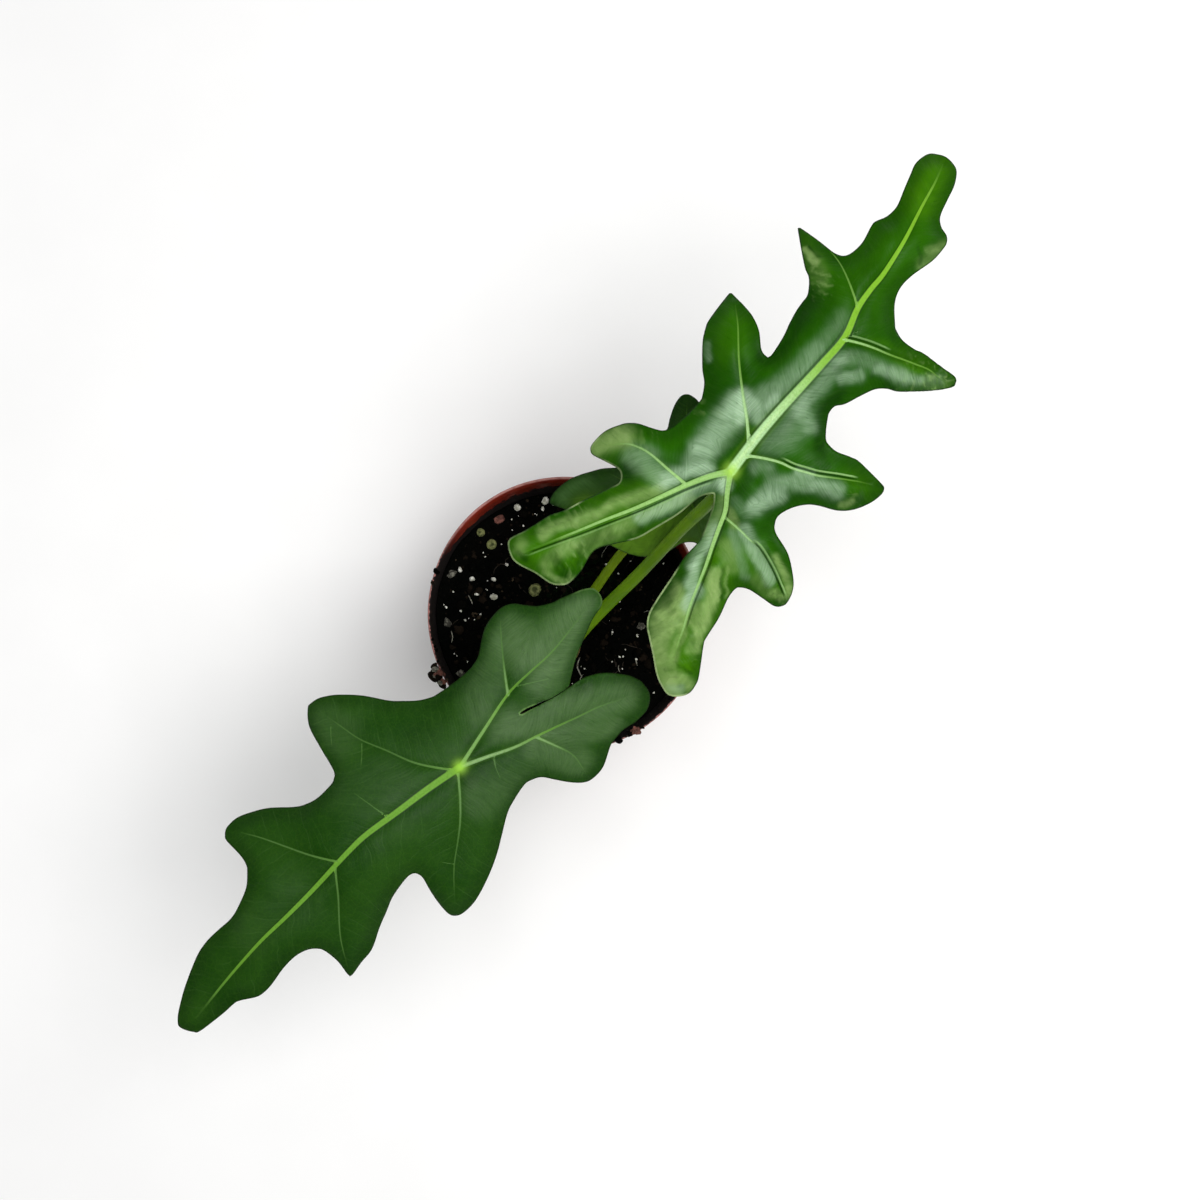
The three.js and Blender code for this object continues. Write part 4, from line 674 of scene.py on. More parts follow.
def blade(name, outline, heights, ribs, material, step=0.95, channel=2.0, trough=0.6, curl=1.2, roll=4.0, wave=1.2, quilt=0.2,
          gap=6.5, thick=0.55, slit=None, seed=1, puff=1.0, deep=None, grooves=None, folds=(), crinkles=(), pale=None, paint=(), margin=5.0):
    """One leaf blade: a fine height field with ribs, troughs, folds and a rolled margin, closed below."""
    height = surface(heights)
    loop = spline(outline, 0.7, closed=True)
    lines = [(key, spline(pts, 1.2), w0, w1) for key, pts, w0, w1 in ribs]
    deep, grooves = deep or {}, grooves or {}
    rows = []
    for key, line, w0, w1 in lines:
        fine = spline(line[::3] if len(line) > 9 else line, 0.8)
        tangent = np.gradient(fine, axis=0)
        tangent /= np.linalg.norm(tangent, axis=1)[:, None]
        across = np.c_[-tangent[:, 1], tangent[:, 0]]
        t = np.linspace(0, 1, len(fine))
        hw = (w0 + (w1 - w0) * t**0.62)[:, None]
        for share, more in ((0, 0), (0.5, 0), (-0.5, 0), (1, 0), (-1, 0), (1.15, 0.3), (-1.15, -0.3), (1.4, 0.75), (-1.4, -0.75)):
            if abs(more) > 0 and w0 < 0.3:
                continue
            rows.append(fine + across * (hw * share + more))
    rows = thin(np.concatenate(rows), 0.24)
    x0, y0 = loop.min(0)
    x1, y1 = loop.max(0)
    pts = np.concatenate([rows, hexes(x0, x1, y0, y1, step)])
    is_row = np.arange(len(pts)) < len(rows)
    keep = inside(pts, loop)
    pts, is_row = pts[keep], is_row[keep]
    keep = to_line(pts, loop, closed=True)[0] > 0.42
    pts, is_row = pts[keep], is_row[keep]
    near = np.full(len(pts), 99.0)
    for key, line, w0, w1 in lines:
        d, arc, _, total = to_line(pts, line)
        hw = w0 + (w1 - w0) * (arc / total) ** (1.0 if key == "mid" else 0.62)
        near = np.minimum(near, d - (1.4 * hw + 0.75 if w0 >= 0.3 else hw))
    # the even fill keeps clear of the rows that follow the ribs
    pts = pts[is_row | (near > 0.42)]
    allpts = np.concatenate([loop, pts])
    n_loop = len(loop)
    result = delaunay_2d_cdt([Vector(q) for q in allpts], [(i, (i + 1) % n_loop) for i in range(n_loop)], [], 1, 1e-7)
    xy = np.array([tuple(v) for v in result[0]])
    tris = np.array([list(f) for f in result[2]])
    # keep triangles whose middle is on the blade, and turn them all to face up
    tris = tris[inside(xy[tris].mean(1), loop)]
    a, b, c = xy[tris[:, 0]], xy[tris[:, 1]], xy[tris[:, 2]]
    area = (b[:, 0] - a[:, 0]) * (c[:, 1] - a[:, 1]) - (b[:, 1] - a[:, 1]) * (c[:, 0] - a[:, 0])
    tris[area < 0] = tris[area < 0][:, ::-1]
    tris = tris[np.abs(area) > 1e-9]
    n = len(xy)
    edge, along, _, _ = to_line(xy, loop, closed=True)

    ratio, width, fade = np.full(n, 9.0), np.full(n, 0.1), np.zeros(n)
    near1, near2 = np.full(n, 99.0), np.full(n, 99.0)
    phase, reach, soft = np.zeros(n), np.zeros(n), np.zeros(n)
    chan, ridge, under = np.zeros(n), np.zeros(n), np.zeros(n)
    cut, cut_on, second, light = np.full(n, 9.0), np.zeros(n), np.zeros(n), np.zeros(n)
    for k, (key, line, w0, w1) in enumerate(lines):
        d, arc, side, total = to_line(xy, line)
        hw = w0 + (w1 - w0) * (arc / total) ** (1.0 if key == "mid" else 0.62)
        closer = d / hw < ratio
        width, fade = np.where(closer, hw, width), np.where(closer, smooth(0.0, (0.12 if key == "mid" else 0.3) * total, total - arc), fade)
        strong, until = (pale or {}).get(key, (0.2, 1.0))
        light = np.where(closer, strong * smooth(until + 0.15, until - 0.15, arc / total), light)
        ratio = np.minimum(ratio, d / hw)
        much = deep.get(key, 1.0) * (0.3 + 0.7 * smooth(0, 5, total - arc))
        narrow = channel * (0.10 + 0.28 * hw) * np.exp(-((d / (0.7 + 1.5 * hw)) ** 2))
        broad = trough * (0.25 + 0.6 * hw) * np.exp(-((d / (3.0 + 2.2 * hw)) ** 2))
        chan = np.maximum(chan, much * (narrow + broad))
        ridge = np.maximum(ridge, 0.42 * hw * np.sqrt(np.clip(1 - (d / hw) ** 2, 0, 1)))
        under = np.maximum(under, 1.15 * hw * np.sqrt(np.clip(1 - (d / (1.25 * hw)) ** 2, 0, 1)))
        if key in grooves:
            offset, strong, start, stop, double = grooves[key]
            on = smooth(start * total - 3, start * total, arc) * smooth(stop * total + 3, stop * total, arc) * (d < 4.5)
            gx = side * d - offset * (0.5 + 0.5 * smooth(total, 0.6 * total, arc))
            here = (on * strong > cut_on) & (d <= near1 + 0.8)
            cut, cut_on, second = np.where(here, gx, cut), np.where(here, on * strong, cut_on), np.where(here, on * double, second)
        if key.startswith("t"):
            continue
        spacing = gap if key == "mid" else gap * 0.78
        p = (arc - 0.75 * d - 0.012 * d * d) / spacing + 0.5 * (side < 0) + 0.13 * k
        closer = d < near1
        near2 = np.where(closer, near1, np.minimum(near2, d))
        phase = np.where(closer, p, phase)
        reach = np.where(closer, smooth(0.2, 1.5, total - arc) * smooth(0.0, 0.6, arc), reach)
        near1 = np.minimum(near1, d)
        soft += (d + 0.4) ** -4.0
    soft = soft**-0.25
    phase += 0.22 * noise(xy, 9.0, seed + 5) + 0.06 * noise(xy, 3.0, seed + 6)
    pmask = reach * smooth(0.15, 1.6, near2 - near1) * smooth(0.4, 1.4, edge)

    z = height(xy)
    free = edge
    if slit is not None:
        off = to_line(loop, spline(slit, 0.8))[0] > 1.6
        cut_at = int(np.flatnonzero(off & ~np.roll(off, 1))[0])
        free = to_line(xy, np.roll(loop, -cut_at, 0)[:int(off.sum())])[0]
    # each panel between rib and margin is puffed, and falls away steeply at the margin
    share = soft / (soft + free)
    z += puff * np.sin(np.pi * share**0.62) * np.clip((soft + free) / 15.0, 0.15, 1.3)
    bulge = 0.5 - 0.5 * np.cos(2 * np.pi * phase)
    z += quilt * (bulge - 0.35) * pmask * smooth(0.8, 4.0, near1) * smooth(0.8, 4.5, edge)
    z += ridge - chan
    joint = np.hypot(xy[:, 0] - ribs[0][1][0][0], xy[:, 1] - ribs[0][1][0][1])
    knob = np.exp(-((joint / 2.1) ** 2))
    z += 0.7 * knob
    z -= curl * np.exp(-((free / roll) ** 2)) * (0.8 + 0.4 * noise(xy, 20.0, seed + 2))
    z += wave * octaves(xy, 15.0, seed, 2) * np.exp(-edge / 7.0) + 0.35 * noise(xy, 24.0, seed + 9) + 0.09 * noise(xy, 5.0, seed + 3)
    z -= 0.35 * cut_on * np.exp(-((cut / 0.4) ** 2))
    z += 0.3 * second * np.exp(-(((cut - 0.75) / 0.4) ** 2))
    # creases that run in from the margin, fine everywhere and strong in a few places
    comb = noise(np.c_[along + 1.5 * noise(xy, 8.0, seed + 21), 0.22 * edge], 2.6, seed + 22)
    z += 0.07 * comb * np.exp(-(((edge - 5) / 5) ** 2))
    crease = np.zeros(n)
    for x, y, radius, length, amp, turn in crinkles:
        t = math.radians(turn)
        u, v = (xy[:, 0] - x) * math.cos(t) + (xy[:, 1] - y) * math.sin(t), (xy[:, 1] - y) * math.cos(t) - (xy[:, 0] - x) * math.sin(t)
        u = u + 0.6 * noise(xy, 3.0, seed + 31)
        crease += amp * np.exp(-((u**2 + v**2) / radius**2) ** 1.5) * noise(np.c_[u / length, 0.3 * v / length] + (x, y), 0.6, seed + 32)
    z += crease
    for pts_fold, half, high in folds:
        d, arc, side, total = to_line(xy, spline(pts_fold, 0.8))
        z += high * np.exp(-((d / half) ** 2)) * smooth(0, 3, arc) * smooth(0, 3, total - arc)
    if slit is not None:
        d, arc, side, total = to_line(xy, spline(slit, 0.8))
        z += 0.7 * side * np.exp(-((d / 3.0) ** 2)) * smooth(0.0, 6.0, arc)

    body = thick * (0.5 + 0.5 * smooth(0.0, 3.0, edge))
    low = z - body - under - 0.25 * ridge
    verts = np.concatenate([np.c_[xy, z], np.c_[xy, low]])
    # rim: border edges of the kept triangles, in their own direction
    half_edges = {(int(i), int(j)) for t in tris for i, j in ((t[0], t[1]), (t[1], t[2]), (t[2], t[0]))}
    wall = []
    for i, j in half_edges:
        if (j, i) not in half_edges:
            wall += [(j, i, i + n), (j, i + n, j + n)]
    wall.sort()
    faces = np.concatenate([tris, tris[:, ::-1] + n, np.array(wall)])
    used = np.zeros(len(verts), bool)
    used[faces.ravel()] = True
    index = np.cumsum(used) - 1

    def two(values):
        return np.concatenate([values, values])[used]

    # soft patches laid on from the listed lines: painted sheen, pale yellow-green painted highlight, bright green that
    # is partly brighter tissue and partly painted light, painted shade, and a pale painted highlight along edges
    layers = {key: np.zeros(n) for key in ("bloom", "young", "lime", "dark", "lip")}
    shaky = xy + 0.9 * np.c_[noise(xy, 6.0, seed + 41), noise(xy, 6.0, seed + 42)] + 0.35 * np.c_[noise(xy, 2.0, seed + 43), noise(xy, 2.0, seed + 44)]
    for kind, line, half, strong in paint:
        d = to_line(shaky, spline(line, 1.2))[0]
        patch = strong * np.exp(-((d / half) ** 3.2))
        layers[kind] += patch * (1 - layers[kind])
    # the painted sheen fades towards the free margin, and painted shade darkens a band along the margin where the blade
    # rolls down
    layers["bloom"] *= 0.25 + 0.75 * smooth(0.3, margin * 0.7, free)
    layers["dark"] = np.clip(layers["dark"] + 0.55 * smooth(margin, 0.25 * margin, free) * (1 - layers["young"]), 0, 1)
    fields = {"knob": two(knob), "ribw": two(width), "fade": two(fade), "rib": two(ratio), "ribmm": two(np.minimum(near1, 40)), "phase": two(phase),
              "pmask": two(pmask), "edgemm": two(np.minimum(edge, 40)), "freemm": two(np.minimum(free, 40)), "cut": two(cut), "cuton": two(cut_on),
              "second": two(second), "pale": two(light), "top": np.concatenate([np.ones(n), np.zeros(n)])[used]}
    fields.update({key: two(value) for key, value in layers.items()})
    fields["crease"] = two(crease)
    obj = piece(name + "_shape", verts[used], index[faces], material, replaces=name, attributes=fields)
    print(name, "verts", len(obj.data.vertices), "faces", len(obj.data.polygons))

    def underside(q):
        q = np.asarray(q)[:, :2]
        near = ((q[:, None] - xy[None, ::3]) ** 2).sum(-1).argmin(1)
        return low[::3][near]

    return obj, underside


def leaf_material(name, deep, fresh, dark, bloom, young, lime, pale_rib, green_rib, thin_rib, edge_colour, pale_edge, under, knob, rough, veins, specular,
                  ridges=1.0, sheen_streak_amount=0.2):
    s = Nodes(name)
    ratio, ribmm = s.attribute("rib"), s.attribute("ribmm")
    phase, pmask, edge = s.attribute("phase"), s.attribute("pmask"), s.attribute("edgemm")
    top, pale = s.attribute("top"), s.attribute("pale")
    big, mid, fine = s.noise(20, 2.0), s.noise(4.0, 4.0, 0.6), s.noise(0.7, 3.0, 0.6)

    # side veins: thin lines where the phase passes a whole number, with finer ones between them
    def lines(k, sharp, broad):
        saw = s.math("ABSOLUTE", s.math("SUBTRACT", s.math("FRACT", s.math("ADD", s.math("MULTIPLY", phase, k), 0.5)), 0.5))
        return s.math("MULTIPLY", s.ramp(saw, sharp, broad, 1.0, 0.0), pmask)

    # silky streaks that run with the side veins
    where = s.t.nodes.new("ShaderNodeCombineXYZ")
    s.put(where.inputs[0], s.math("MULTIPLY", phase, 9.0))
    s.put(where.inputs[1], s.math("MULTIPLY", ribmm, 0.16))
    silk = s.noise(1, 3.0, 0.6, where=where.outputs[0])
    side, hair = lines(1.0, 0.01, 0.05), lines(4.0, 0.04, 0.30)
    patch = s.ramp(s.noise(9.0, 2.0), 0.42, 0.62)
    net = s.ramp(s.cells(0.9, "DISTANCE_TO_EDGE"), 0.0, 0.14, 1.0, 0.0)
    web = s.ramp(s.cells(2.3, "DISTANCE_TO_EDGE"), 0.0, 0.10, 1.0, 0.0)

    colour = s.mix(s.ramp(big, 0.35, 0.65), deep, fresh)
    colour = s.mix(s.ramp(mid, 0.35, 0.75, 0.0, 0.25), colour, fresh)
    # broad soft folds, long across the rib and short along it, painted into the colour only: they break up the painted
    # light and shade of the patches below
    over = s.t.nodes.new("ShaderNodeCombineXYZ")
    s.put(over.inputs[0], s.math("MULTIPLY", phase, 1.5))
    s.put(over.inputs[1], s.math("MULTIPLY", ribmm, 0.16))
    fold = s.noise(1, 4.0, 0.62, where=over.outputs[0])
    # the patches: bright green that is partly painted light, pale yellow-green painted highlight, and painted shade
    colour = s.mix(s.math("MULTIPLY", s.attribute("lime"), s.ramp(fold, 0.34, 0.62, 0.8, 1.05), clamp=True), colour, lime)
    colour = s.mix(s.math("MULTIPLY", s.attribute("young"), s.math("MULTIPLY", s.ramp(fold, 0.36, 0.62, 0.74, 1.04), s.ramp(mid, 0.4, 0.6, 0.88, 1.04)), clamp=True), colour, young)
    colour = s.mix(s.math("MULTIPLY", s.attribute("dark"), s.ramp(fold, 0.4, 0.65, 1.0, 0.8), clamp=True), colour, dark)
    crease = s.attribute("crease")
    # painted highlight on the crests of the crinkles and painted shade in their troughs
    colour = s.mix(s.ramp(crease, 0.03, 0.35, 0.0, 0.3), colour, young)
    colour = s.mix(s.ramp(crease, -0.03, -0.35, 0.0, 0.4), colour, dark)
    # painted sheen: the sheen patches, streaked along the side veins and broken up by the folds
    streaked_sheen_mask = s.math("MULTIPLY", s.attribute("bloom"), s.math("MULTIPLY", s.ramp(silk, 0.34, 0.66, 0.78, 1.12), s.ramp(fold, 0.35, 0.62, 0.85, 1.12)), clamp=True)
    colour = s.mix(streaked_sheen_mask, colour, bloom)
    # pale silky streaks along the side veins: painted sheen
    colour = s.mix(s.math("MULTIPLY", s.ramp(silk, 0.46, 0.68), sheen_streak_amount), colour, s.mix(0.3, fresh, young))
    colour = s.mix(s.math("MULTIPLY", net, 0.05 * veins), colour, green_rib)
    colour = s.mix(s.math("MULTIPLY", web, 0.07 * veins), colour, green_rib)
    colour = s.mix(s.math("MULTIPLY", side, s.math("MULTIPLY", patch, 0.30 * veins)), colour, thin_rib)
    # short dark flecks between the veins
    colour = s.mix(s.math("MULTIPLY", s.ramp(silk, 0.36, 0.28), s.math("MULTIPLY", s.ramp(s.noise(3.0, 3.0), 0.52, 0.62), 0.75)), colour, s.mix(0.35, dark, deep))
    # ribs: pale and broad by the joint, greener and finer outwards
    colour = s.mix(s.math("MULTIPLY", s.ramp(ratio, 1.0, 2.4, 1.0, 0.0), s.math("MULTIPLY", pale, 0.22)), colour, green_rib)
    streak = s.noise(0.8, 4.0, 0.7)
    width = s.attribute("ribw")
    rib = s.mix(pale, s.mix(s.ramp(width, 0.25, 0.5), thin_rib, green_rib), pale_rib)
    # a painted highlight along the middle of the pale ribs, streaked by the silky noise
    rib = s.mix(s.math("MULTIPLY", s.ramp(ratio, 0.1, 0.62, 1.0, 0.0), s.math("MULTIPLY", s.ramp(silk, 0.3, 0.6, 0.2, 0.75), s.math("MULTIPLY", pale, pale))), rib, s.mix(0.35, pale_rib, (0.75, 1.0, 0.4)))
    rib = s.mix(s.ramp(streak, 0.4, 0.7, 0.0, 0.34), rib, s.mix(0.5, green_rib, fresh))
    # painted shade: a dark line where the blade dips beside a thick rib
    beside = s.math("MULTIPLY", s.ramp(ratio, 1.0, 1.2), s.ramp(ratio, 1.85, 1.35))
    colour = s.mix(s.math("MULTIPLY", beside, s.ramp(width, 0.2, 0.7, 0.0, 0.5)), colour, s.mix(0.3, dark, (0.0, 0.002, 0.0)))
    strength = s.math("MULTIPLY", s.ramp(width, 0.08, 0.6, 0.42, 1.0), s.ramp(s.attribute("fade"), 0.0, 1.0, 0.12, 1.0))
    colour = s.mix(s.math("MULTIPLY", s.ramp(ratio, 0.75, 1.2, 1.0, 0.0), strength), colour, rib)
    # fold lines beside some ribs, darkened as painted shade, and a painted highlight on the pale crest next to them
    cut = s.attribute("cut")
    crest = s.math("ABSOLUTE", s.math("SUBTRACT", cut, 0.72))
    colour = s.mix(s.math("MULTIPLY", s.ramp(crest, 0.1, 0.42, 0.75, 0.0), s.attribute("second")), colour, s.mix(0.6, green_rib, pale_rib))
    slot_line = s.math("MULTIPLY", s.ramp(s.math("ABSOLUTE", cut), 0.12, 0.42, 1.0, 0.0), s.attribute("cuton"))
    colour = s.mix(s.math("MULTIPLY", slot_line, 0.9), colour, s.mix(0.55, (0.0, 0.002, 0.0), deep))
    colour = s.mix(s.math("MULTIPLY", s.attribute("knob"), 0.85), colour, s.mix(0.2, knob, pale_rib))
    colour = s.mix(s.ramp(s.attribute("freemm"), 0.1, 0.5, 0.75, 0.0), colour, edge_colour)
    # a pale line laid along the marked margins: painted highlight where the edge turns up
    lip = s.math("MULTIPLY", s.math("MULTIPLY", s.attribute("lip"), s.ramp(edge, 0.3, 0.72, 1.0, 0.0)), s.ramp(s.noise(2.2, 3.0), 0.3, 0.55, 0.5, 0.95))
    colour = s.mix(lip, colour, pale_edge)
    # the paler underside, with its ribs and net standing out
    below = s.mix(s.ramp(ratio, 0.8, 1.3, 1.0, 0.0), s.mix(s.ramp(mid, 0.3, 0.7, 0.0, 0.4), under, fresh), s.mix(0.5, green_rib, pale_rib))
    below = s.mix(s.math("MULTIPLY", web, 0.25), below, green_rib)
    below = s.mix(s.math("MULTIPLY", side, 0.5), below, green_rib)
    colour = s.mix(top, below, colour)
    height = s.math("ADD", s.math("MULTIPLY", side, -0.35 * veins), s.math("ADD", s.math("MULTIPLY", hair, -0.15), s.math("MULTIPLY", net, -0.08)))
    height = s.math("ADD", height, s.math("ADD", s.math("MULTIPLY", mid, 0.45), s.math("MULTIPLY", fine, 0.07)))
    height = s.math("ADD", height, s.math("ADD", s.math("MULTIPLY", silk, 0.75 * ridges), s.math("MULTIPLY", slot_line, -1.5)))
    normal = s.bump(height, 0.12)
    roughness = s.ramp(mid, 0.3, 0.7, rough - 0.03, rough + 0.05)
    roughness = s.math("ADD", s.math("MULTIPLY", s.math("SUBTRACT", 1.0, top), 0.25), roughness, clamp=True)
    s.set(Base_Color=colour, Roughness=roughness, Normal=normal)
    s.bsdf.inputs["Specular IOR Level"].default_value = specular
    s.bsdf.inputs["Subsurface Weight"].default_value = 0.05
    s.bsdf.inputs["Subsurface Radius"].default_value = (0.4, 1.0, 0.2)
    s.bsdf.inputs["Subsurface Scale"].default_value = 0.0008
    return s.m


# ------------------------------------------------------------------------------------------------ stalks


def stalk(name, points, radii, material, top_height, flare=1.0, groove=0.0, steps=90, sides=28, seed=3):
    """A tapering stalk: radii are (base, tip); flare widens its sheathing foot."""
    line = spline(points, 0.4)
    arc = np.r_[0, np.cumsum(np.linalg.norm(np.diff(line, axis=0), axis=1))]
    total = arc[-1]
    want = np.linspace(0, total, steps)
    c = np.c_[tuple(np.interp(want, arc, line[:, k]) for k in range(3))]
    for _ in range(2):
        c[1:-1] = 0.25 * c[:-2] + 0.5 * c[1:-1] + 0.25 * c[2:]
    tangent = np.gradient(c, axis=0)
    tangent /= np.linalg.norm(tangent, axis=1)[:, None]
    # a frame that doesn't spin: inward (towards the plant's middle) is the groove's side
    lean = np.array([points[-1][0] - points[0][0], points[-1][1] - points[0][1], 0.0])
    lean /= np.linalg.norm(lean)
    side = np.cross(tangent, lean)
    side = np.where(np.linalg.norm(side, axis=1)[:, None] < 0.15, np.array([[-lean[1], lean[0], 0]]), side)
    side /= np.linalg.norm(side, axis=1)[:, None]
    up = np.cross(side, tangent)
    a = np.linspace(0, 2 * np.pi, sides, endpoint=False)
    t = (want / total)[:, None]
    base, tip = radii
    r = base + (tip - base) * np.sqrt(t)
    foot = np.exp(-((want / 13.0) ** 2))[:, None]
    r = r * (1 + flare * foot)
    r = r * (1 + 0.05 * noise(np.c_[want, np.full(steps, seed * 7.0)], 16.0, seed)[:, None])
    # the side that faces the plant's middle is hollowed: deep in the foot, faint above
    face = np.exp(-((np.angle(np.exp(1j * (a[None] - np.pi))) / 0.75) ** 2))
    depth = groove * (0.12 + 0.75 * foot)
    rad = r * (1 - depth * face)
    rad = rad * (1 + 0.018 * np.cos(a[None] * 11 + 2.0 * np.sin(want / 17.0)[:, None]))
    ring = c[:, None] + rad[..., None] * (np.cos(a)[None, :, None] * up[:, None] + np.sin(a)[None, :, None] * side[:, None])
    verts = ring.reshape(-1, 3)
    # the top is shaped to the blade's underside and sinks a little into its ribs
    if top_height is not None:
        verts[:, 2] = np.minimum(verts[:, 2], top_height(verts[:, :2]) + 0.3)
    faces = []
    for i in range(steps - 1):
        for j in range(sides):
            k = (j + 1) % sides
            faces.append((i * sides + j, i * sides + k, (i + 1) * sides + k, (i + 1) * sides + j))
    n = len(verts)
    verts = np.concatenate([verts, [c[0], verts[-sides:].mean(0)]])
    for j in range(sides):
        k = (j + 1) % sides
        faces.append((k, j, n))
        faces.append(((steps - 1) * sides + j, (steps - 1) * sides + k, n + 1))
    along = np.r_[np.repeat(want, sides), 0, total]
    turn = np.r_[np.tile(a, steps), 0, 0]
    obj = piece(name + "_shape", verts, faces, material, replaces=name,
                attributes={"along": along, "turn": turn, "foot": np.exp(-along / 12.0)})
    return obj


def stalk_material(name, green, yellow, pale, foot):
    s = Nodes(name)
    along, turn, low = s.attribute("along"), s.attribute("turn"), s.attribute("foot")
    u = s.t.nodes.new("ShaderNodeCombineXYZ")
    s.put(u.inputs[0], s.math("MULTIPLY", along, 0.09))
    s.put(u.inputs[1], s.math("MULTIPLY", s.math("SINE", turn), 7.0))
    s.put(u.inputs[2], s.math("MULTIPLY", s.math("COSINE", turn), 7.0))
    fibre = s.noise(1, 4.0, 0.6, where=u.outputs[0])
    big = s.noise(9.0, 3.0)
    colour = s.mix(s.ramp(big, 0.35, 0.65), green, yellow)
    colour = s.mix(s.ramp(fibre, 0.4, 0.68, 0.0, 0.3), colour, pale)
    fleck = s.cells(1.1, "F1")
    colour = s.mix(s.ramp(fleck, 0.03, 0.1, 0.35, 0.0), colour, pale)
    colour = s.mix(s.math("MULTIPLY", low, 0.85, clamp=True), colour, foot)
    fine = s.noise(0.5, 3.0)
    normal = s.bump(s.math("ADD", fibre, s.math("MULTIPLY", fine, 0.25)), 0.14)
    s.set(Base_Color=colour, Roughness=s.ramp(big, 0.3, 0.7, 0.33, 0.44), Normal=normal)
    s.bsdf.inputs["Specular IOR Level"].default_value = 0.06
    s.bsdf.inputs["Subsurface Weight"].default_value = 0.15
    s.bsdf.inputs["Subsurface Radius"].default_value = (0.6, 1.0, 0.15)
    s.bsdf.inputs["Subsurface Scale"].default_value = 0.0016
    return s.m


# ------------------------------------------------------------------------------------------------ pot


def taper(z):
    return POT_FOOT_R + (POT_BODY_TOP_R - POT_FOOT_R) * z / (POT_HEIGHT - RIM_BAND)


def rounded(profile, radius, n=4):
    """Rounds each inner corner of an open polyline."""
    out = [profile[0]]
    for i in range(1, len(profile) - 1):
        a, b, c = (np.array(profile[k], float) for k in (i - 1, i, i + 1))
        la, lc = np.linalg.norm(a - b), np.linalg.norm(c - b)
        r = min(radius, 0.4 * la, 0.4 * lc)
        p, q = b + (a - b) / la * r, b + (c - b) / lc * r
        for t in np.linspace(0, 1, n):
            out.append(tuple((1 - t) ** 2 * p + 2 * t * (1 - t) * b + t * t * q))
    out.append(profile[-1])
    return np.array(out)


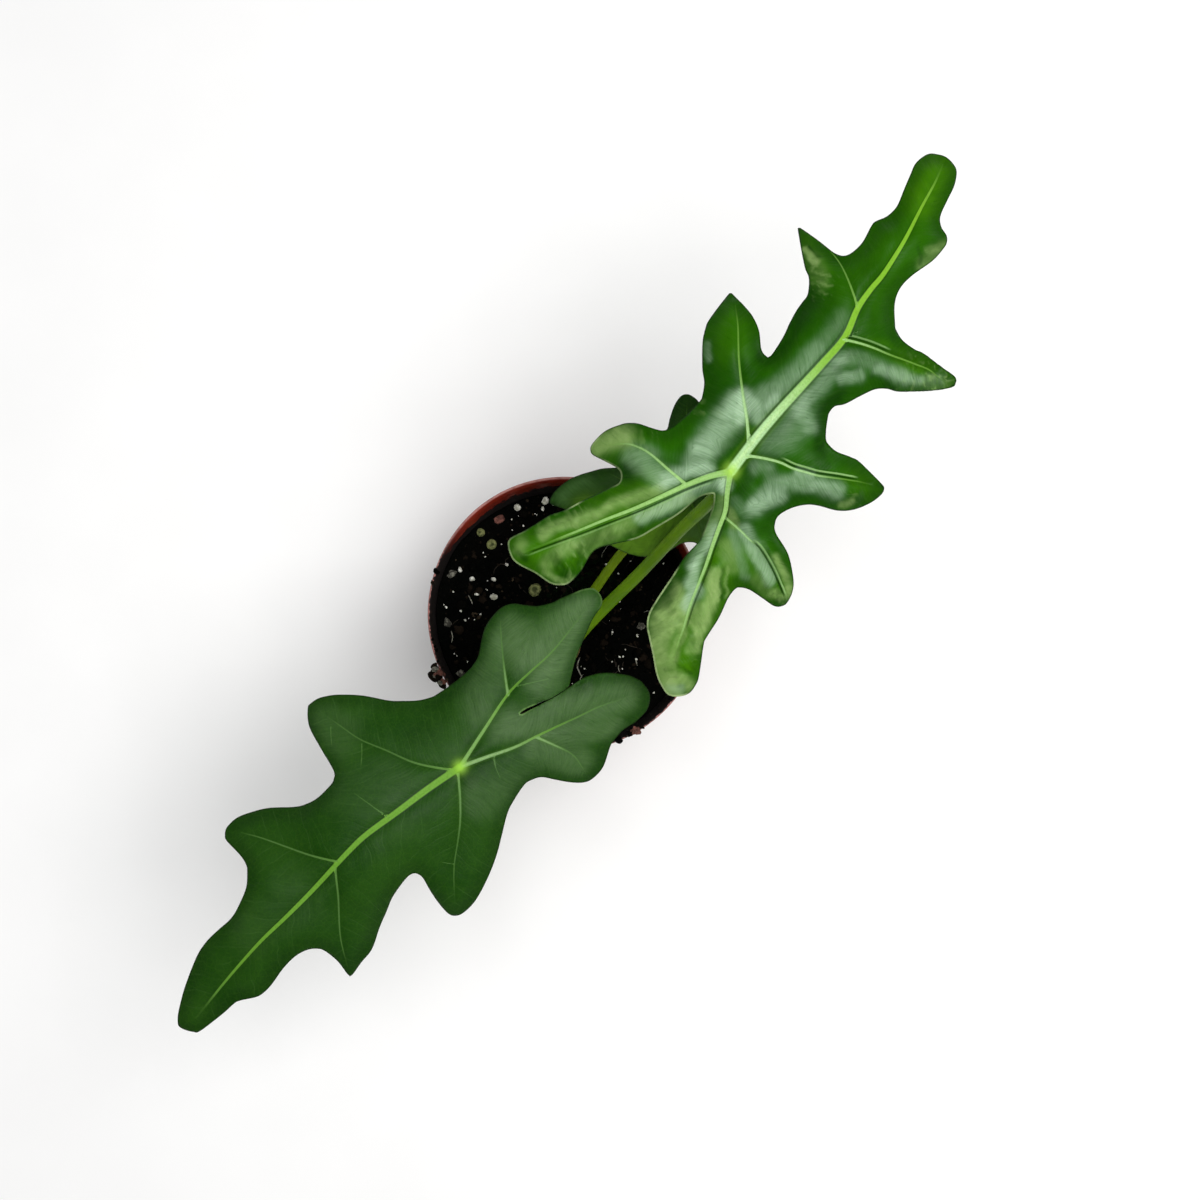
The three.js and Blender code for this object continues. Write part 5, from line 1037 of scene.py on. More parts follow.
def pot(material):
    b, inner = POT_HEIGHT - RIM_BAND, lambda z: taper(z) - POT_WALL
    outer = [(POT_FOOT_R - 1.4, 0), (POT_FOOT_R, 1.3), (taper(3.5) + 0.05, 3.5), (taper(3.9) - 0.25, 3.9), (taper(14) - 0.2, 14), (taper(40) - 0.15, 40),
             (taper(b - 2.4), b - 2.4), (POT_RIM_R - 1.35, b - 0.2), (POT_RIM_R - 0.75, b + 1.0), (POT_RIM_R - 0.55, POT_HEIGHT - 2.7),
             (POT_RIM_R, POT_HEIGHT - 2.1), (POT_RIM_R, POT_HEIGHT - 0.45), (POT_RIM_R - 0.35, POT_HEIGHT),
             (POT_RIM_R - 0.75, POT_HEIGHT), (POT_RIM_R - 1.15, POT_HEIGHT - 0.6), (POT_RIM_R - 1.9, POT_HEIGHT - 3.4),
             (inner(b) + 0.35, b), (inner(b - 1.2), b - 1.2), (inner(30), 30), (inner(POT_FLOOR + 1.5), POT_FLOOR + 1.5),
             (inner(POT_FLOOR) - 1.3, POT_FLOOR)]
    profile = rounded(outer, 0.7)
    sides = 192
    a = np.linspace(0, 2 * np.pi, sides, endpoint=False)
    # a thin-walled moulding is never quite round: a faint oval and a slightly wavy lip
    z = np.repeat(profile[:, 1], sides)
    r = np.repeat(profile[:, 0], sides)
    ang = np.tile(a, len(profile))
    loose = smooth(30, 90, z)
    r = r + loose * (0.22 * np.cos(2 * ang + 0.6) + 0.08 * np.cos(5 * ang + 2.0))
    verts = np.c_[r * np.cos(ang), r * np.sin(ang), z]
    faces = []
    m = len(profile)
    for i in range(m - 1):
        for j in range(sides):
            k = (j + 1) % sides
            faces.append((i * sides + j, i * sides + k, (i + 1) * sides + k, (i + 1) * sides + j))
    # floor: underside and inside, both pierced by the drain holes
    n0 = len(verts)
    holes = []
    for i in range(DRAIN_HOLES):
        t = (i + 0.5) / DRAIN_HOLES * 2 * np.pi
        c = np.array([DRAIN_CIRCLE_R * np.cos(t), DRAIN_CIRCLE_R * np.sin(t)])
        w = np.linspace(0, 2 * np.pi, 28, endpoint=False)
        holes.append(c + DRAIN_HOLE_R * np.c_[np.cos(w), np.sin(w)])
    extra = []

    def disc(ring_index, level, flip):
        ring = verts[ring_index * sides:(ring_index + 1) * sides, :2]
        radius = np.linalg.norm(ring[0])
        fill = hexes(-radius, radius, -radius, radius, 5.0)
        fill = fill[np.linalg.norm(fill, axis=1) < radius - 2.5]
        for h in holes:
            fill = fill[np.linalg.norm(fill - h.mean(0), axis=1) > DRAIN_HOLE_R + 2.2]
        pts = np.concatenate([ring] + holes + [fill])
        edges = [(j, (j + 1) % sides) for j in range(sides)]
        start = sides
        for h in holes:
            edges += [(start + j, start + (j + 1) % len(h)) for j in range(len(h))]
            start += len(h)
        res = delaunay_2d_cdt([Vector(p) for p in pts], edges, [], 1, 1e-7)
        xy = np.array([tuple(v) for v in res[0]])
        tri = np.array([list(f) for f in res[2]])
        mid = xy[tri].mean(1)
        keep = np.ones(len(tri), bool)
        for h in holes:
            keep &= np.linalg.norm(mid - h.mean(0), axis=1) > DRAIN_HOLE_R * 0.99
        tri = tri[keep]
        p, q, s = xy[tri[:, 0]], xy[tri[:, 1]], xy[tri[:, 2]]
        area = (q[:, 0] - p[:, 0]) * (s[:, 1] - p[:, 1]) - (q[:, 1] - p[:, 1]) * (s[:, 0] - p[:, 0])
        tri[area < 0] = tri[area < 0][:, ::-1]
        if flip:
            tri = tri[:, ::-1]
        offset = n0 + sum(len(e) for e in extra)
        extra.append(np.c_[xy[sides:], np.full(len(xy) - sides, level)])
        remap = np.where(tri < sides, tri + ring_index * sides, tri - sides + offset)
        faces.extend(tuple(int(v) for v in f) for f in remap)
        return offset

    under = disc(0, 0.0, True)
    top = disc(m - 1, POT_FLOOR, False)
    start = 0
    for h in holes:
        for j in range(len(h)):
            k = (j + 1) % len(h)
            faces.append((under + start + k, under + start + j, top + start + j, top + start + k))
        start += len(h)
    verts = np.concatenate([verts] + extra)
    inside_flag = np.r_[np.repeat((np.arange(m) > 13 * 4).astype(float), sides), np.zeros(len(extra[0])), np.ones(len(extra[1]))]
    return piece("pot_shape", verts, faces, material, replaces="pot", sharp=50, attributes={"inner": inside_flag})


def pot_material():
    s = Nodes("pot_moulded_plastic")
    xyz = s.t.nodes.new("ShaderNodeSeparateXYZ")
    s.t.links.new(s.coord.outputs["Object"], xyz.inputs[0])
    z = xyz.outputs[2]
    big, mid, fine = s.noise(26, 3.0), s.noise(3.0, 4.0, 0.65), s.noise(0.45, 3.0)
    colour = s.mix(s.ramp(big, 0.3, 0.7), lin(96, 36, 25), lin(116, 48, 35))
    # painted light: the inner wall is given a brighter red than the outside, as if lit
    colour = s.mix(s.attribute("inner"), colour, s.mix(s.ramp(big, 0.3, 0.7), lin(146, 38, 22), lin(168, 56, 36)))
    colour = s.mix(s.ramp(mid, 0.45, 0.75, 0.0, 0.35), colour, lin(88, 28, 18))
    # a pale line along the top of the lip, broken up by noise: a painted highlight where the light catches the rim
    lip = s.math("MULTIPLY", s.ramp(z, 0.0893, 0.0899), s.ramp(mid, 0.3, 0.6, 0.5, 1.0))
    colour = s.mix(s.math("MULTIPLY", lip, 0.6), colour, lin(206, 146, 140))
    # mix smeared up the inner wall; only the back left stretch and a bit at the right stay clean
    inner = s.attribute("inner")
    turn = s.math("ARCTAN2", xyz.outputs[1], xyz.outputs[0])
    clean = s.math("MAXIMUM", s.math("MULTIPLY", s.ramp(turn, 1.2, 1.6), s.ramp(turn, 2.75, 2.3)),
                   s.math("MULTIPLY", s.ramp(turn, 0.0, 0.3), s.ramp(turn, 1.2, 0.8)))
    level = s.math("SUBTRACT", 0.0893, s.math("MULTIPLY", clean, 0.0085))
    above = s.math("ADD", s.math("SUBTRACT", level, z), s.ramp(s.noise(2.6, 5.0, 0.7), 0.3, 0.7, -0.002, 0.002))
    dust = s.math("MULTIPLY", inner, s.ramp(above, -0.0006, 0.0016, 0.0, 0.99))
    radius = s.math("SQRT", s.math("ADD", s.math("MULTIPLY", xyz.outputs[0], xyz.outputs[0]), s.math("MULTIPLY", xyz.outputs[1], xyz.outputs[1])))
    ragged = s.math("ADD", radius, s.ramp(s.noise(2.0, 5.0, 0.75), 0.3, 0.7, -0.0004, 0.0004))
    crusted = s.math("MULTIPLY", s.math("MULTIPLY", s.ramp(ragged, 0.05225, 0.05205), s.ramp(z, 0.085, 0.087)), s.math("SUBTRACT", 1.0, clean))
    dust = s.math("MAXIMUM", dust, s.math("MULTIPLY", crusted, 0.99))
    colour = s.mix(dust, colour, s.mix(s.ramp(mid, 0.4, 0.7), lin(2, 2, 1), lin(8, 6, 4)))
    salts = s.math("MULTIPLY", inner, s.math("MULTIPLY", s.ramp(z, 0.079, 0.084), s.ramp(s.noise(1.4, 5.0, 0.75), 0.64, 0.74, 0.0, 0.35)))
    colour = s.mix(salts, colour, lin(170, 130, 116))
    # rub marks low down outside
    scuff = s.math("MULTIPLY", s.ramp(z, 0.012, 0.0), s.ramp(mid, 0.35, 0.65))
    colour = s.mix(s.math("MULTIPLY", scuff, 0.4), colour, lin(165, 120, 105))
    normal = s.bump(s.math("ADD", s.math("MULTIPLY", fine, 0.35), s.math("MULTIPLY", mid, 0.4)), 0.09)
    s.set(Base_Color=colour, Roughness=s.math("ADD", s.ramp(mid, 0.3, 0.7, 0.36, 0.52), s.math("MULTIPLY", dust, 0.4), clamp=True), Normal=normal)
    s.bsdf.inputs["Specular IOR Level"].default_value = 0.3
    return s.m


# ------------------------------------------------------------------------------------------------ soil and grains

soil_height = surface(SOIL_HEIGHTS)


def soil_top(xy):
    """The mix's surface with its crumbs: CAD height plus lumps."""
    z = soil_height(xy)
    lump = 0.9 * octaves(xy, 9.0, 101, 3, 0.55)
    crumb = noise(xy, 2.6, 131)
    small = noise(xy, 1.2, 137)
    z = z + lump + 0.75 * np.abs(crumb) * 1.3 - 0.5 + 0.35 * small + 0.16 * noise(xy, 0.6, 139)
    for _, x, y, a, _, _, _ in GRAINS:
        d = np.hypot(xy[:, 0] - x, xy[:, 1] - y)
        k = np.exp(-((d / (a + 0.6)) ** 4))
        z = z * (1 - k) + (soil_height(xy) - 0.25) * k
    return z


def soil(material):
    r_at = lambda z: (taper(z) - POT_WALL if z < 79 else taper(79) - POT_WALL + 0.35 + (z - 79) * 0.07)
    fill = hexes(-50, 50, -50, 50, 0.62)
    ang = np.linspace(0, 2 * np.pi, 420, endpoint=False)
    # the surface's own edge, where it meets the pot's wall at its own height
    rim = np.c_[np.cos(ang), np.sin(ang)] * 48.0
    for _ in range(6):
        zz = soil_height(rim)
        rr = np.array([r_at(q) for q in zz]) - 0.12
        rim = np.c_[np.cos(ang), np.sin(ang)] * rr[:, None]
    ra = np.linalg.norm(fill, axis=1)
    edge_r = np.interp(np.arctan2(fill[:, 1], fill[:, 0]) % (2 * np.pi), ang, rr, period=2 * np.pi)
    fill = fill[ra < edge_r - 0.45]
    fill = fill + 0.12 * np.c_[noise(fill, 0.9, 7), noise(fill, 0.9, 8)]
    pts = np.concatenate([rim, fill])
    n = len(rim)
    res = delaunay_2d_cdt([Vector(p) for p in pts], [(i, (i + 1) % n) for i in range(n)], [], 1, 1e-7)
    xy = np.array([tuple(v) for v in res[0]])
    tri = np.array([list(f) for f in res[2]])
    a, b, c = xy[tri[:, 0]], xy[tri[:, 1]], xy[tri[:, 2]]
    area = (b[:, 0] - a[:, 0]) * (c[:, 1] - a[:, 1]) - (b[:, 1] - a[:, 1]) * (c[:, 0] - a[:, 0])
    tri[area < 0] = tri[area < 0][:, ::-1]
    z = soil_top(xy)
    z[:n] = np.minimum(z[:n], soil_height(xy[:n]) + 0.4)
    verts = np.c_[xy, z]
    # closed below by the wall of the root ball and its flat bottom
    rings, faces = [], [tuple(int(q) for q in f) for f in tri]
    levels = [60.0, 40.0, 20.0, 5.0, 2.4]
    prev = list(range(n))
    count = len(verts)
    for level in levels:
        rr2 = (r_at(level) - 0.35 if level > 4.5 else r_at(level) - 2.4)
        rings.append(np.c_[np.cos(ang) * rr2, np.sin(ang) * rr2, np.full(n, level)])
        now = list(range(count, count + n))
        for i in range(n):
            j = (i + 1) % n
            faces.append((prev[j], prev[i], now[i], now[j]))
        prev = now
        count += n
    verts = np.concatenate([verts] + rings + [np.array([[0, 0, levels[-1]]])])
    for i in range(n):
        faces.append((prev[(i + 1) % n], prev[i], count))
    print("soil", len(verts), len(faces))
    return piece("soil_shape", verts, faces, material, replaces="soil")


_ico = {}


def ico(level):
    if level not in _ico:
        import bmesh
        bm = bmesh.new()
        bmesh.ops.create_icosphere(bm, subdivisions=level, radius=1.0)
        v = np.array([q.co[:] for q in bm.verts])
        f = np.array([[q.index for q in face.verts] for face in bm.faces])
        bm.free()
        _ico[level] = (v, f)
    return _ico[level]


def crumbs(name, material, count, sizes, seed, level=2, flat=(0.5, 1.0), bury=0.35, rude=0.3, extra=None, level_at=None):
    """Many small lumps lying in the surface, as one piece."""
    rng = np.random.default_rng(seed)
    v0, f0 = ico(level)
    verts, faces, shade = [], [], []
    places = []
    tries = 0
    fixed = list(extra or [])
    while len(places) < count + len(fixed) and tries < (count + len(fixed)) * 30:
        tries += 1
        if len(places) < len(fixed):
            x, y, size = fixed[len(places)]
        else:
            ang, rad = rng.uniform(0, 2 * np.pi), 47.6 * math.sqrt(rng.uniform(0, 1))
            x, y = rad * math.cos(ang), rad * math.sin(ang)
            size = sizes[0] * (sizes[1] / sizes[0]) ** (rng.uniform() ** 1.8)
            if any((x - g[1]) ** 2 + (y - g[2]) ** 2 < (max(g[3:5]) + size) ** 2 for g in GRAINS):
                continue
            if (x - STEM_CENTRE[0]) ** 2 + (y - STEM_CENTRE[1]) ** 2 < (8.5 + size) ** 2:
                continue
            if math.hypot(x, y) + size > 47.9:
                continue
        places.append((x, y, size))
    tops = soil_top(np.array([(x, y) for x, y, _ in places])) if level_at is None else np.full(len(places), level_at)
    for (x, y, size), top in zip(places, tops):
        shape = np.array([1.0, rng.uniform(0.6, 1.0), rng.uniform(*flat)])
        v = v0 * (1 + rude * noise(v0 * 1.0 + rng.uniform(0, 90, 3), 0.75, seed)[:, None] + 0.12 * noise(v0 + rng.uniform(0, 90, 3), 0.3, seed + 1)[:, None])
        turn = rng.uniform(0, 2 * np.pi)
        tip = rng.uniform(-0.5, 0.5)
        v = v * shape * size
        ct, st, cp, sp = math.cos(turn), math.sin(turn), math.cos(tip), math.sin(tip)
        v = v @ np.array([[1, 0, 0], [0, cp, -sp], [0, sp, cp]]).T
        v = v @ np.array([[ct, -st, 0], [st, ct, 0], [0, 0, 1]]).T
        v = v + (x, y, top + size * shape[2] * (1 - 2 * bury) * 0.6)
        faces.append(f0 + len(verts) * len(v0))
        verts.append(v)
        shade.append(np.full(len(v0), rng.uniform()))
    return piece(name, np.concatenate(verts), np.concatenate(faces), material, attributes={"shade": np.concatenate(shade)})


def fibres(name, material, strands):
    """Thin root hairs and coir threads lying on the mix: (points in plan, radius)."""
    verts, faces, total = [], [], 0
    sides = 6
    for pts, radius in strands:
        line = spline(pts, 0.45)
        z = soil_top(line)
        for _ in range(4):
            z[1:-1] = np.maximum(0.25 * z[:-2] + 0.5 * z[1:-1] + 0.25 * z[2:], soil_top(line)[1:-1] - radius)
        c = np.c_[line, z + radius * 0.7]
        t = np.gradient(c, axis=0)
        t /= np.linalg.norm(t, axis=1)[:, None]
        side = np.cross(t, [0, 0, 1.0])
        side /= np.linalg.norm(side, axis=1)[:, None]
        up = np.cross(side, t)
        a = np.linspace(0, 2 * np.pi, sides, endpoint=False)
        m = len(c)
        taper_r = radius * (0.35 + 0.65 * np.sin(np.linspace(0.15, np.pi - 0.15, m)))[:, None, None]
        ring = c[:, None] + taper_r * (np.cos(a)[None, :, None] * side[:, None] + np.sin(a)[None, :, None] * up[:, None])
        verts.append(ring.reshape(-1, 3))
        for i in range(m - 1):
            for j in range(sides):
                k = (j + 1) % sides
                faces.append((total + i * sides + j, total + i * sides + k, total + (i + 1) * sides + k, total + (i + 1) * sides + j))
        faces.append(tuple(total + j for j in range(sides))[::-1])
        faces.append(tuple(total + (m - 1) * sides + j for j in range(sides)))
        total += m * sides
    return piece(name, np.concatenate(verts), faces, material)


def grain(item, material, rude, pits, seed, level=5, wave=0.9, crater=0.0):
    name, x, y, a, b, c, turn = item
    v0, f0 = ico(level)
    salt = seed * 31.7
    r = 1 - rude * (0.5 + 0.5 * noise(v0 + salt, wave, seed)) - rude * 0.5 * (0.5 + 0.5 * noise(v0 + salt, wave / 2.3, seed + 1))
    if pits:
        cell = noise(v0 + salt, 0.26, seed + 2)
        r = r - pits * np.clip(cell - 0.15, 0, 1) - 0.4 * pits * np.clip(noise(v0 + salt, 0.12, seed + 3) - 0.1, 0, 1)
    if crater:
        lean = np.array([math.cos(seed) * 0.25, math.sin(seed) * 0.25, 1.0])
        turned = v0 @ (lean / np.linalg.norm(lean))
        r = r - crater * np.exp(-((np.arccos(np.clip(turned, -1, 1)) / (0.42 + 0.12 * noise(v0 + salt, 0.5, seed + 6))) ** 2))
    r = r + 0.02 * noise(v0 + salt, 0.08, seed + 4)
    v = v0 * r[:, None] * (a, b, c)
    t = math.radians(turn)
    v = v @ np.array([[math.cos(t), math.sin(t), 0], [-math.sin(t), math.cos(t), 0], [0, 0, 1]])
    v = v + (x, y, float(soil_height([(x, y)])[0]) + c * 0.25)
    return piece(name + "_shape", v, f0, material, replaces=name, attributes={"hollow": (1 - r)})


def soil_material(name, light=0.0):
    s = Nodes(name)
    big, mid, fine = s.noise(16, 3.0), s.noise(2.4, 5.0, 0.7), s.noise(0.5, 4.0, 0.7)
    colour = s.mix(s.ramp(big, 0.35, 0.65), lin(1, 2, 1), lin(3, 3, 2))
    colour = s.mix(s.ramp(mid, 0.5, 0.75, 0.0, 0.5), colour, lin(5, 6, 4))
    colour = s.mix(s.ramp(fine, 0.64, 0.8, 0.0, 0.4), colour, lin(20, 20, 16))
    # a green tint on the mix near the middle, under the leaves: painted green light bounced from the leaves
    place = s.t.nodes.new("ShaderNodeVectorMath")
    place.operation = "DISTANCE"
    s.t.links.new(s.coord.outputs["Object"], place.inputs[0])
    place.inputs[1].default_value = (0.004, 0.013, 0.077)
    near = s.ramp(place.outputs["Value"], 0.022, 0.006)
    green_bounce_tint = s.math("MULTIPLY", near, s.ramp(s.noise(1.6, 5.0, 0.7), 0.45, 0.66, 0.0, 0.65))
    colour = s.mix(green_bounce_tint, colour, lin(10, 30, 8))
    if light:
        shade = s.attribute("shade")
        colour = s.mix(s.ramp(shade, 0.55, 1.0, 0.0, light), colour, lin(38, 30, 23))
        colour = s.mix(s.ramp(shade, 0.97, 0.99, 0.0, 0.7 * light), colour, lin(84, 72, 56))
    flake = s.cells(0.85, "F1")
    colour = s.mix(s.ramp(flake, 0.06, 0.14, 0.35, 0.0), colour, lin(54, 52, 46))
    normal = s.bump(s.math("ADD", s.math("MULTIPLY", mid, 1.0), s.math("MULTIPLY", fine, 0.5)), 0.5)
    s.set(Base_Color=colour, Roughness=s.ramp(mid, 0.3, 0.7, 0.75, 0.95), Normal=normal)
    s.bsdf.inputs["Specular IOR Level"].default_value = 0.03
    return s.m


def mineral_material(name, base, dark, pale, speck, rough=0.85, scale=0.5):
    s = Nodes(name)
    mid, fine = s.noise(1.1, 4.0, 0.65), s.noise(0.22, 3.0, 0.6)
    colour = s.mix(s.ramp(mid, 0.35, 0.68), base, dark)
    colour = s.mix(s.ramp(fine, 0.45, 0.7, 0.0, 0.5), colour, pale)
    cell = s.cells(scale, "F1")
    colour = s.mix(s.ramp(cell, 0.05, 0.25, speck, 0.0), colour, dark)
    hollow = s.attribute("hollow")
    # painted shade: each grain is darker in its pits and hollows
    colour = s.mix(s.ramp(hollow, 0.14, 0.34, 0.0, 0.9), colour, dark)
    normal = s.bump(s.math("ADD", s.math("MULTIPLY", mid, 0.6), s.math("ADD", fine, s.math("MULTIPLY", cell, 0.6))), 0.12)
    s.set(Base_Color=colour, Roughness=s.ramp(mid, 0.3, 0.7, rough - 0.08, rough + 0.05), Normal=normal)
    s.bsdf.inputs["Specular IOR Level"].default_value = 0.3
    return s.m


# ------------------------------------------------------------------------------------------------ stage, lights, camera

scene = bpy.context.scene
scene.view_settings.view_transform = "Standard"
scene.view_settings.look = "None"

camera = bpy.data.cameras.new("camera")
camera.sensor_fit = "HORIZONTAL"
camera.angle = CAMERA_ANGLE
camera.clip_start, camera.clip_end = 0.01, 20
cam = bpy.data.objects.new("camera", camera)
cam.location = Vector(CAMERA_AT) * MM
scene.collection.objects.link(cam)
scene.camera = cam

floor_mesh = bpy.data.meshes.new("floor")
floor_mesh.from_pydata([(-3, -3, 0), (3, -3, 0), (3, 3, 0), (-3, 3, 0)], [], [(0, 1, 2, 3)])
floor = bpy.data.objects.new("floor", floor_mesh)
scene.collection.objects.link(floor)
s = Nodes("floor_paper")
s.set(Base_Color=s.mix(s.ramp(s.noise(60, 3.0), 0.3, 0.7), (0.83, 0.83, 0.83), (0.85, 0.85, 0.85)), Roughness=0.9)
s.bsdf.inputs["Emission Color"].default_value = (1.0, 1.0, 1.0, 1.0)
s.bsdf.inputs["Emission Strength"].default_value = 0.14
s.bsdf.inputs["Specular IOR Level"].default_value = 0.0
floor_mesh.materials.append(s.m)


def lamp(name, place, aim, size, power, colour=(1, 1, 1)):
    data = bpy.data.lights.new(name, "AREA")
    data.shape = "RECTANGLE"
    data.size, data.size_y = size
    data.energy = power
    data.color = colour
    obj = bpy.data.objects.new(name, data)
    obj.location = place
    obj.rotation_euler = (Vector(aim) - Vector(place)).to_track_quat("-Z", "Y").to_euler()
    scene.collection.objects.link(obj)
    return obj


lamp("key", (0.36, 0.04, 1.5), (0.03, 0.0, 0.1), (1.05, 0.95), 27.0, (1.0, 0.99, 0.98))
lamp("window", (-0.42, 0.12, 1.30), (0.03, 0.05, 0.15), (0.34, 0.30), 1.8, (0.92, 0.97, 1.0))

# even room light from the sides, with the dark camera side overhead
world = bpy.data.worlds.new("world")
world.use_nodes = True
tree = world.node_tree
back = tree.nodes["Background"]
where = tree.nodes.new("ShaderNodeTexCoord")
split = tree.nodes.new("ShaderNodeSeparateXYZ")
tree.links.new(where.outputs["Generated"], split.inputs[0])
fall = tree.nodes.new("ShaderNodeMapRange")
fall.interpolation_type = "SMOOTHSTEP"
tree.links.new(split.outputs[2], fall.inputs["Value"])
for key, value in (("From Min", 0.0), ("From Max", 0.32), ("To Min", 0.52), ("To Max", 0.03)):
    fall.inputs[key].default_value = value
tree.links.new(fall.outputs[0], back.inputs[1])
back.inputs[0].default_value = (0.96, 0.98, 1.0, 1.0)
scene.world = world

# ------------------------------------------------------------------------------------------------ the plant

upper_mat = leaf_material("leaf_upper", lin(22, 70, 0), lin(32, 85, 0), lin(14, 54, 0), lin(154, 184, 150), lin(138, 168, 98), lin(62, 116, 2),
                          lin(168, 206, 150), lin(120, 172, 44), lin(112, 158, 66), lin(14, 44, 2), lin(168, 192, 132), lin(104, 132, 62),
                          lin(168, 220, 44), rough=0.4, veins=0.05, specular=0.075, ridges=0.3, sheen_streak_amount=0.04)
front_mat = leaf_material("leaf_front", lin(18, 57, 2), lin(29, 67, 8), lin(10, 44, 0), lin(78, 106, 64), lin(60, 96, 40), lin(44, 92, 10),
                          lin(114, 148, 100), lin(98, 150, 34), lin(78, 116, 56), lin(18, 42, 4), lin(104, 138, 78), lin(92, 116, 68),
                          lin(150, 206, 40), rough=0.55, veins=0.4, specular=0.12, ridges=0.35, sheen_streak_amount=0.1)
lower_mat = leaf_material("leaf_lower", lin(20, 58, 2), lin(32, 72, 8), lin(12, 46, 0), lin(82, 120, 66), lin(120, 170, 44), lin(70, 120, 8),
                          lin(110, 150, 60), lin(84, 130, 34), lin(60, 100, 26), lin(18, 44, 6), lin(110, 150, 80), lin(84, 104, 56),
                          lin(100, 150, 40), rough=0.5, veins=0.3, specular=0.12, ridges=0.5, sheen_streak_amount=0.12)

_, upper_z = blade("upper_leaf_blade", UPPER_OUTLINE, UPPER_HEIGHTS, UPPER_RIBS, upper_mat, step=0.75, channel=2.2, trough=0.6, curl=2.0,
                   roll=5.5, wave=1.1, quilt=0.1, gap=7.0, seed=11, puff=1.0, deep=UPPER_DEEP, grooves=UPPER_GROOVES, folds=UPPER_FOLDS,
                   crinkles=UPPER_CRINKLES, pale=UPPER_PALE, paint=UPPER_PAINT, margin=6.0)
_, front_z = blade("front_leaf_blade", FRONT_OUTLINE, FRONT_HEIGHTS, FRONT_RIBS, front_mat, channel=1.5, trough=0.5, curl=1.0,
                   roll=4.5, wave=0.9, quilt=0.12, gap=7.5, seed=23, slit=FRONT_SLIT, puff=0.8, pale=FRONT_PALE, paint=FRONT_PAINT, margin=6.0)
_, lower_z = blade("lower_leaf_blade", LOWER_OUTLINE, LOWER_HEIGHTS, LOWER_RIBS, lower_mat, channel=1.4, trough=0.5, curl=1.0,
                   roll=3.5, wave=0.9, quilt=0.12, gap=5.0, seed=37, thick=0.5, puff=0.7, paint=LOWER_PAINT, margin=4.0)

stalk_mat = stalk_material("stalk_olive", lin(88, 132, 0), lin(102, 144, 4), lin(116, 152, 20), lin(126, 130, 56))
# a lighter copy of the stalk colours for the lower leaf's stalk: painted light that makes up for the shade it stands in
brightened_stalk = stalk_material("stalk_painted_lighter", lin(106, 138, 8), lin(120, 150, 20), lin(132, 156, 44), lin(126, 130, 56))
stalk("upper_leaf_petiole", UPPER_STALK, (2.55, 2.05), stalk_mat, upper_z, flare=0.45, groove=0.5, seed=2)
stalk("front_leaf_petiole", FRONT_STALK, (2.4, 2.0), stalk_mat, front_z, flare=0.5, groove=0.5, seed=5)
stalk("lower_leaf_petiole", LOWER_STALK, (2.0, 1.55), brightened_stalk, lower_z, flare=0.5, groove=0.5, seed=8)


def stem(material):
    """The short stem: a low swollen collar with the scars and husks of earlier leaves."""
    rows, sides = 40, 72
    t = np.linspace(0, 1, rows)
    z = 70 + 14.6 * t
    r = 7.4 * (1 - 0.18 * np.abs(t - 0.45)) * np.where(t > 0.9, np.sqrt(np.clip(1 - ((t - 0.9) / 0.1) ** 2, 0, 1)) * 0.5 + 0.5, 1)
    a = np.linspace(0, 2 * np.pi, sides, endpoint=False)
    zz, aa = np.repeat(z, sides), np.tile(a, rows)
    step = 0.5 + 0.5 * np.sin(zz * 2.1 + 1.6 * np.sin(aa + 0.4))
    rr = np.repeat(r, sides) + 0.32 * step + 0.3 * noise(np.c_[np.cos(aa) * 7, np.sin(aa) * 7, zz], 3.0, 71)
    verts = np.c_[STEM_CENTRE[0] + rr * np.cos(aa), STEM_CENTRE[1] + rr * np.sin(aa), zz]
    faces = [(i * sides + j, i * sides + (j + 1) % sides, (i + 1) * sides + (j + 1) % sides, (i + 1) * sides + j)
             for i in range(rows - 1) for j in range(sides)]
    n = len(verts)
    verts = np.concatenate([verts, [(*STEM_CENTRE, 70), (*STEM_CENTRE, 85.0)]])
    faces += [((j + 1) % sides, j, n) for j in range(sides)]
    faces += [((rows - 1) * sides + j, (rows - 1) * sides + (j + 1) % sides, n + 1) for j in range(sides)]
    return piece("stem_base_shape", verts, faces, material, replaces="stem_base",
                 attributes={"along": verts[:, 2] - 70, "turn": np.r_[aa, 0, 0], "foot": np.full(len(verts), 0.9)})


stem(stalk_material("stem_collar", lin(96, 104, 44), lin(120, 118, 60), lin(150, 130, 88), lin(112, 92, 58)))

pot(pot_material())
soil(soil_material("potting_mix"))
crumb_mat = soil_material("mix_crumbs", light=0.6)
crumbs("mix_crumbs_large", crumb_mat, 420, (0.9, 2.4), 5, level=3, rude=0.45)
crumbs("mix_crumbs_small", crumb_mat, 1500, (0.35, 1.0), 6, level=2, rude=0.45)

clay = mineral_material("clay_granule", lin(126, 130, 78), lin(44, 52, 18), lin(176, 178, 124), 0.5)
perlite = mineral_material("perlite_grain", lin(232, 231, 222), lin(160, 158, 142), lin(246, 246, 242), 0.2)
pumice = mineral_material("pumice_grain", lin(118, 116, 104), lin(44, 42, 36), lin(172, 168, 156), 0.5)
bark = mineral_material("bark_chip", lin(112, 66, 56), lin(52, 26, 20), lin(160, 116, 104), 0.3)
for k, item in enumerate(GRAINS):
    kind = item[0].split("_")[0]
    m, slot, rude, pits = {"granule": (clay, "clay_granule", 0.16, 0.10), "perlite": (perlite, "perlite", 0.34, 0.3),
                           "pumice": (pumice, "pumice", 0.42, 0.3), "bark": (bark, "bark", 0.25, 0.05)}[kind]
    grain(item, m, rude, pits, 201 + k, crater=0.3 if kind == "granule" else 0.0)

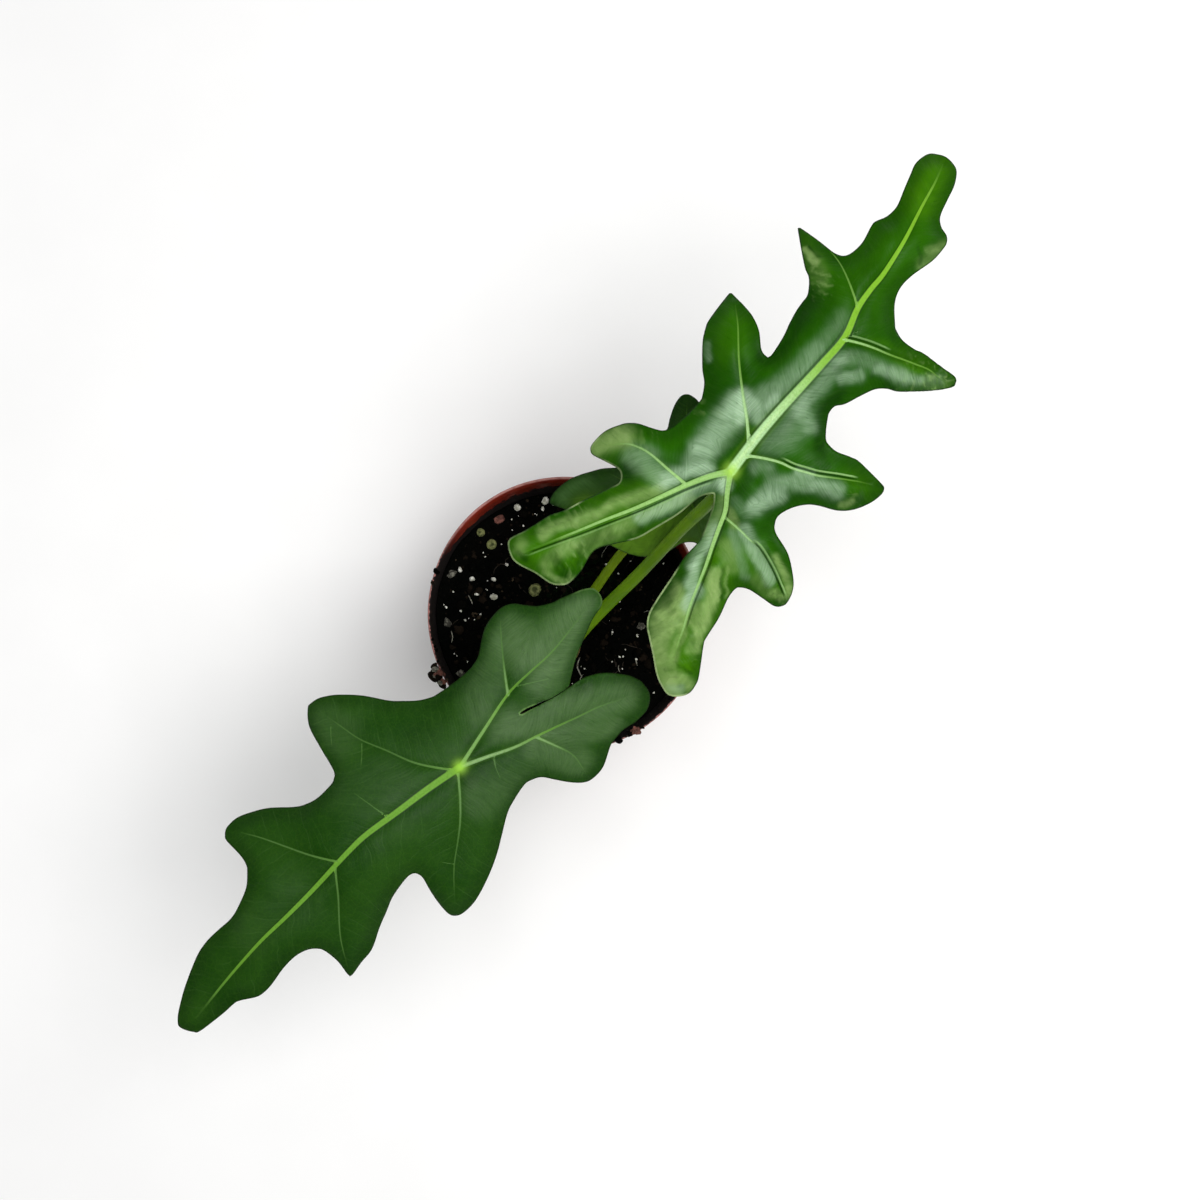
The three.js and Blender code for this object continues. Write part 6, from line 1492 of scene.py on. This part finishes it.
# white and pale specks, the larger of them where they stand out most
SPECKS = [(-41.0, 16.9, 1.0), (-36.4, 13.4, 0.95), (-28.2, 13.4, 1.0), (-34.8, 7.6, 0.9), (-9.6, 41.0, 1.0), (-23.2, 18.9, 0.7),
          (-46.0, 2.6, 0.6), (-40.6, 1.0, 0.55), (26.9, -17.6, 0.6), (17.6, -7.1, 0.5), (15.6, -19.5, 0.5), (21.8, -21.1, 0.55),
          (30.0, -36.5, 0.9), (23.0, -41.5, 1.0), (27.5, -8.5, 0.6), (-16.0, 31.0, 0.45), (-31.5, 22.0, 0.4), (-43.5, 8.5, 0.5)]
crumbs("perlite_specks", perlite, len(SPECKS) + 70, (0.25, 0.65), 9, level=2, rude=0.5, bury=0.2, extra=SPECKS)

# bits of the mix lying on the lip
rng = np.random.default_rng(31)
SPILT = [(-49.6, 16.4, 1.3), (-50.9, 12.0, 0.8), (-49.4, -23.4, 2.7), (-47.3, -26.6, 1.7), (-50.0, -20.2, 1.4), (20.2, -48.0, 1.4), (24.4, -45.6, 1.2), (29.0, -43.0, 0.9)]
for _ in range(20):
    ang, rad = math.radians(rng.uniform(188, 335)), rng.uniform(50.9, 52.0)
    SPILT.append((rad * math.cos(ang), rad * math.sin(ang), rng.uniform(0.3, 0.65)))
crumbs("mix_on_lip", crumb_mat, 0, (0.3, 0.9), 12, level=3, rude=0.45, bury=0.35, extra=SPILT, level_at=90.0)
crumbs("chips_on_lip", bark, 0, (0.3, 0.9), 13, level=3, rude=0.4, bury=0.3, level_at=90.6,
       extra=[(-48.6, -22.6, 1.9), (-47.0, -25.8, 1.4), (26.3, -44.2, 1.8), (-47.0, -22.9, 1.0)])
crumbs("grit_on_lip", pumice, 0, (0.3, 0.9), 14, level=3, rude=0.4, bury=0.25, level_at=91.2,
       extra=[(-49.6, -20.9, 1.3), (-49.4, -23.9, 1.5), (-47.8, -26.2, 1.0)])

rng = np.random.default_rng(77)
threads = [([(-37.9, 7.2), (-36.6, 4.6), (-36.0, 1.8)], 0.22), ([(5.1, -16.8), (4.2, -20.5), (6.3, -25.4)], 0.3),
           ([(17.7, -6.0), (17.5, -7.8), (17.8, -9.6)], 0.22), ([(27.2, -16.2), (26.8, -18.0), (27.3, -20.0)], 0.24),
           ([(20.2, -19.6), (20.0, -21.2), (20.6, -22.6)], 0.18), ([(-44.2, -6.5), (-43.6, -8.8), (-44.0, -10.9)], 0.2)]
for _ in range(34):
    ang, rad = rng.uniform(0, 2 * np.pi), 44 * math.sqrt(rng.uniform())
    x, y, d = rad * math.cos(ang), rad * math.sin(ang), rng.uniform(0, 2 * np.pi)
    pts = [(x, y)]
    for _ in range(int(rng.integers(3, 7))):
        d += rng.normal() * 0.55
        x, y = x + 1.7 * math.cos(d), y + 1.7 * math.sin(d)
        pts.append((x, y))
    if max(math.hypot(*p) for p in pts) < 46.5 and min(math.hypot(p[0] - STEM_CENTRE[0], p[1] - STEM_CENTRE[1]) for p in pts) > 8.6:
        threads.append((pts, rng.uniform(0.08, 0.2)))
pale_fibre = mineral_material("coir_pale", lin(150, 148, 136), lin(92, 88, 76), lin(196, 194, 184), 0.2)
dark_fibre = mineral_material("coir_dark", lin(40, 32, 24), lin(22, 17, 13), lin(66, 56, 44), 0.2)
fibres("root_threads_pale", pale_fibre, threads[:10])
fibres("root_threads_dark", dark_fibre, threads[10:])
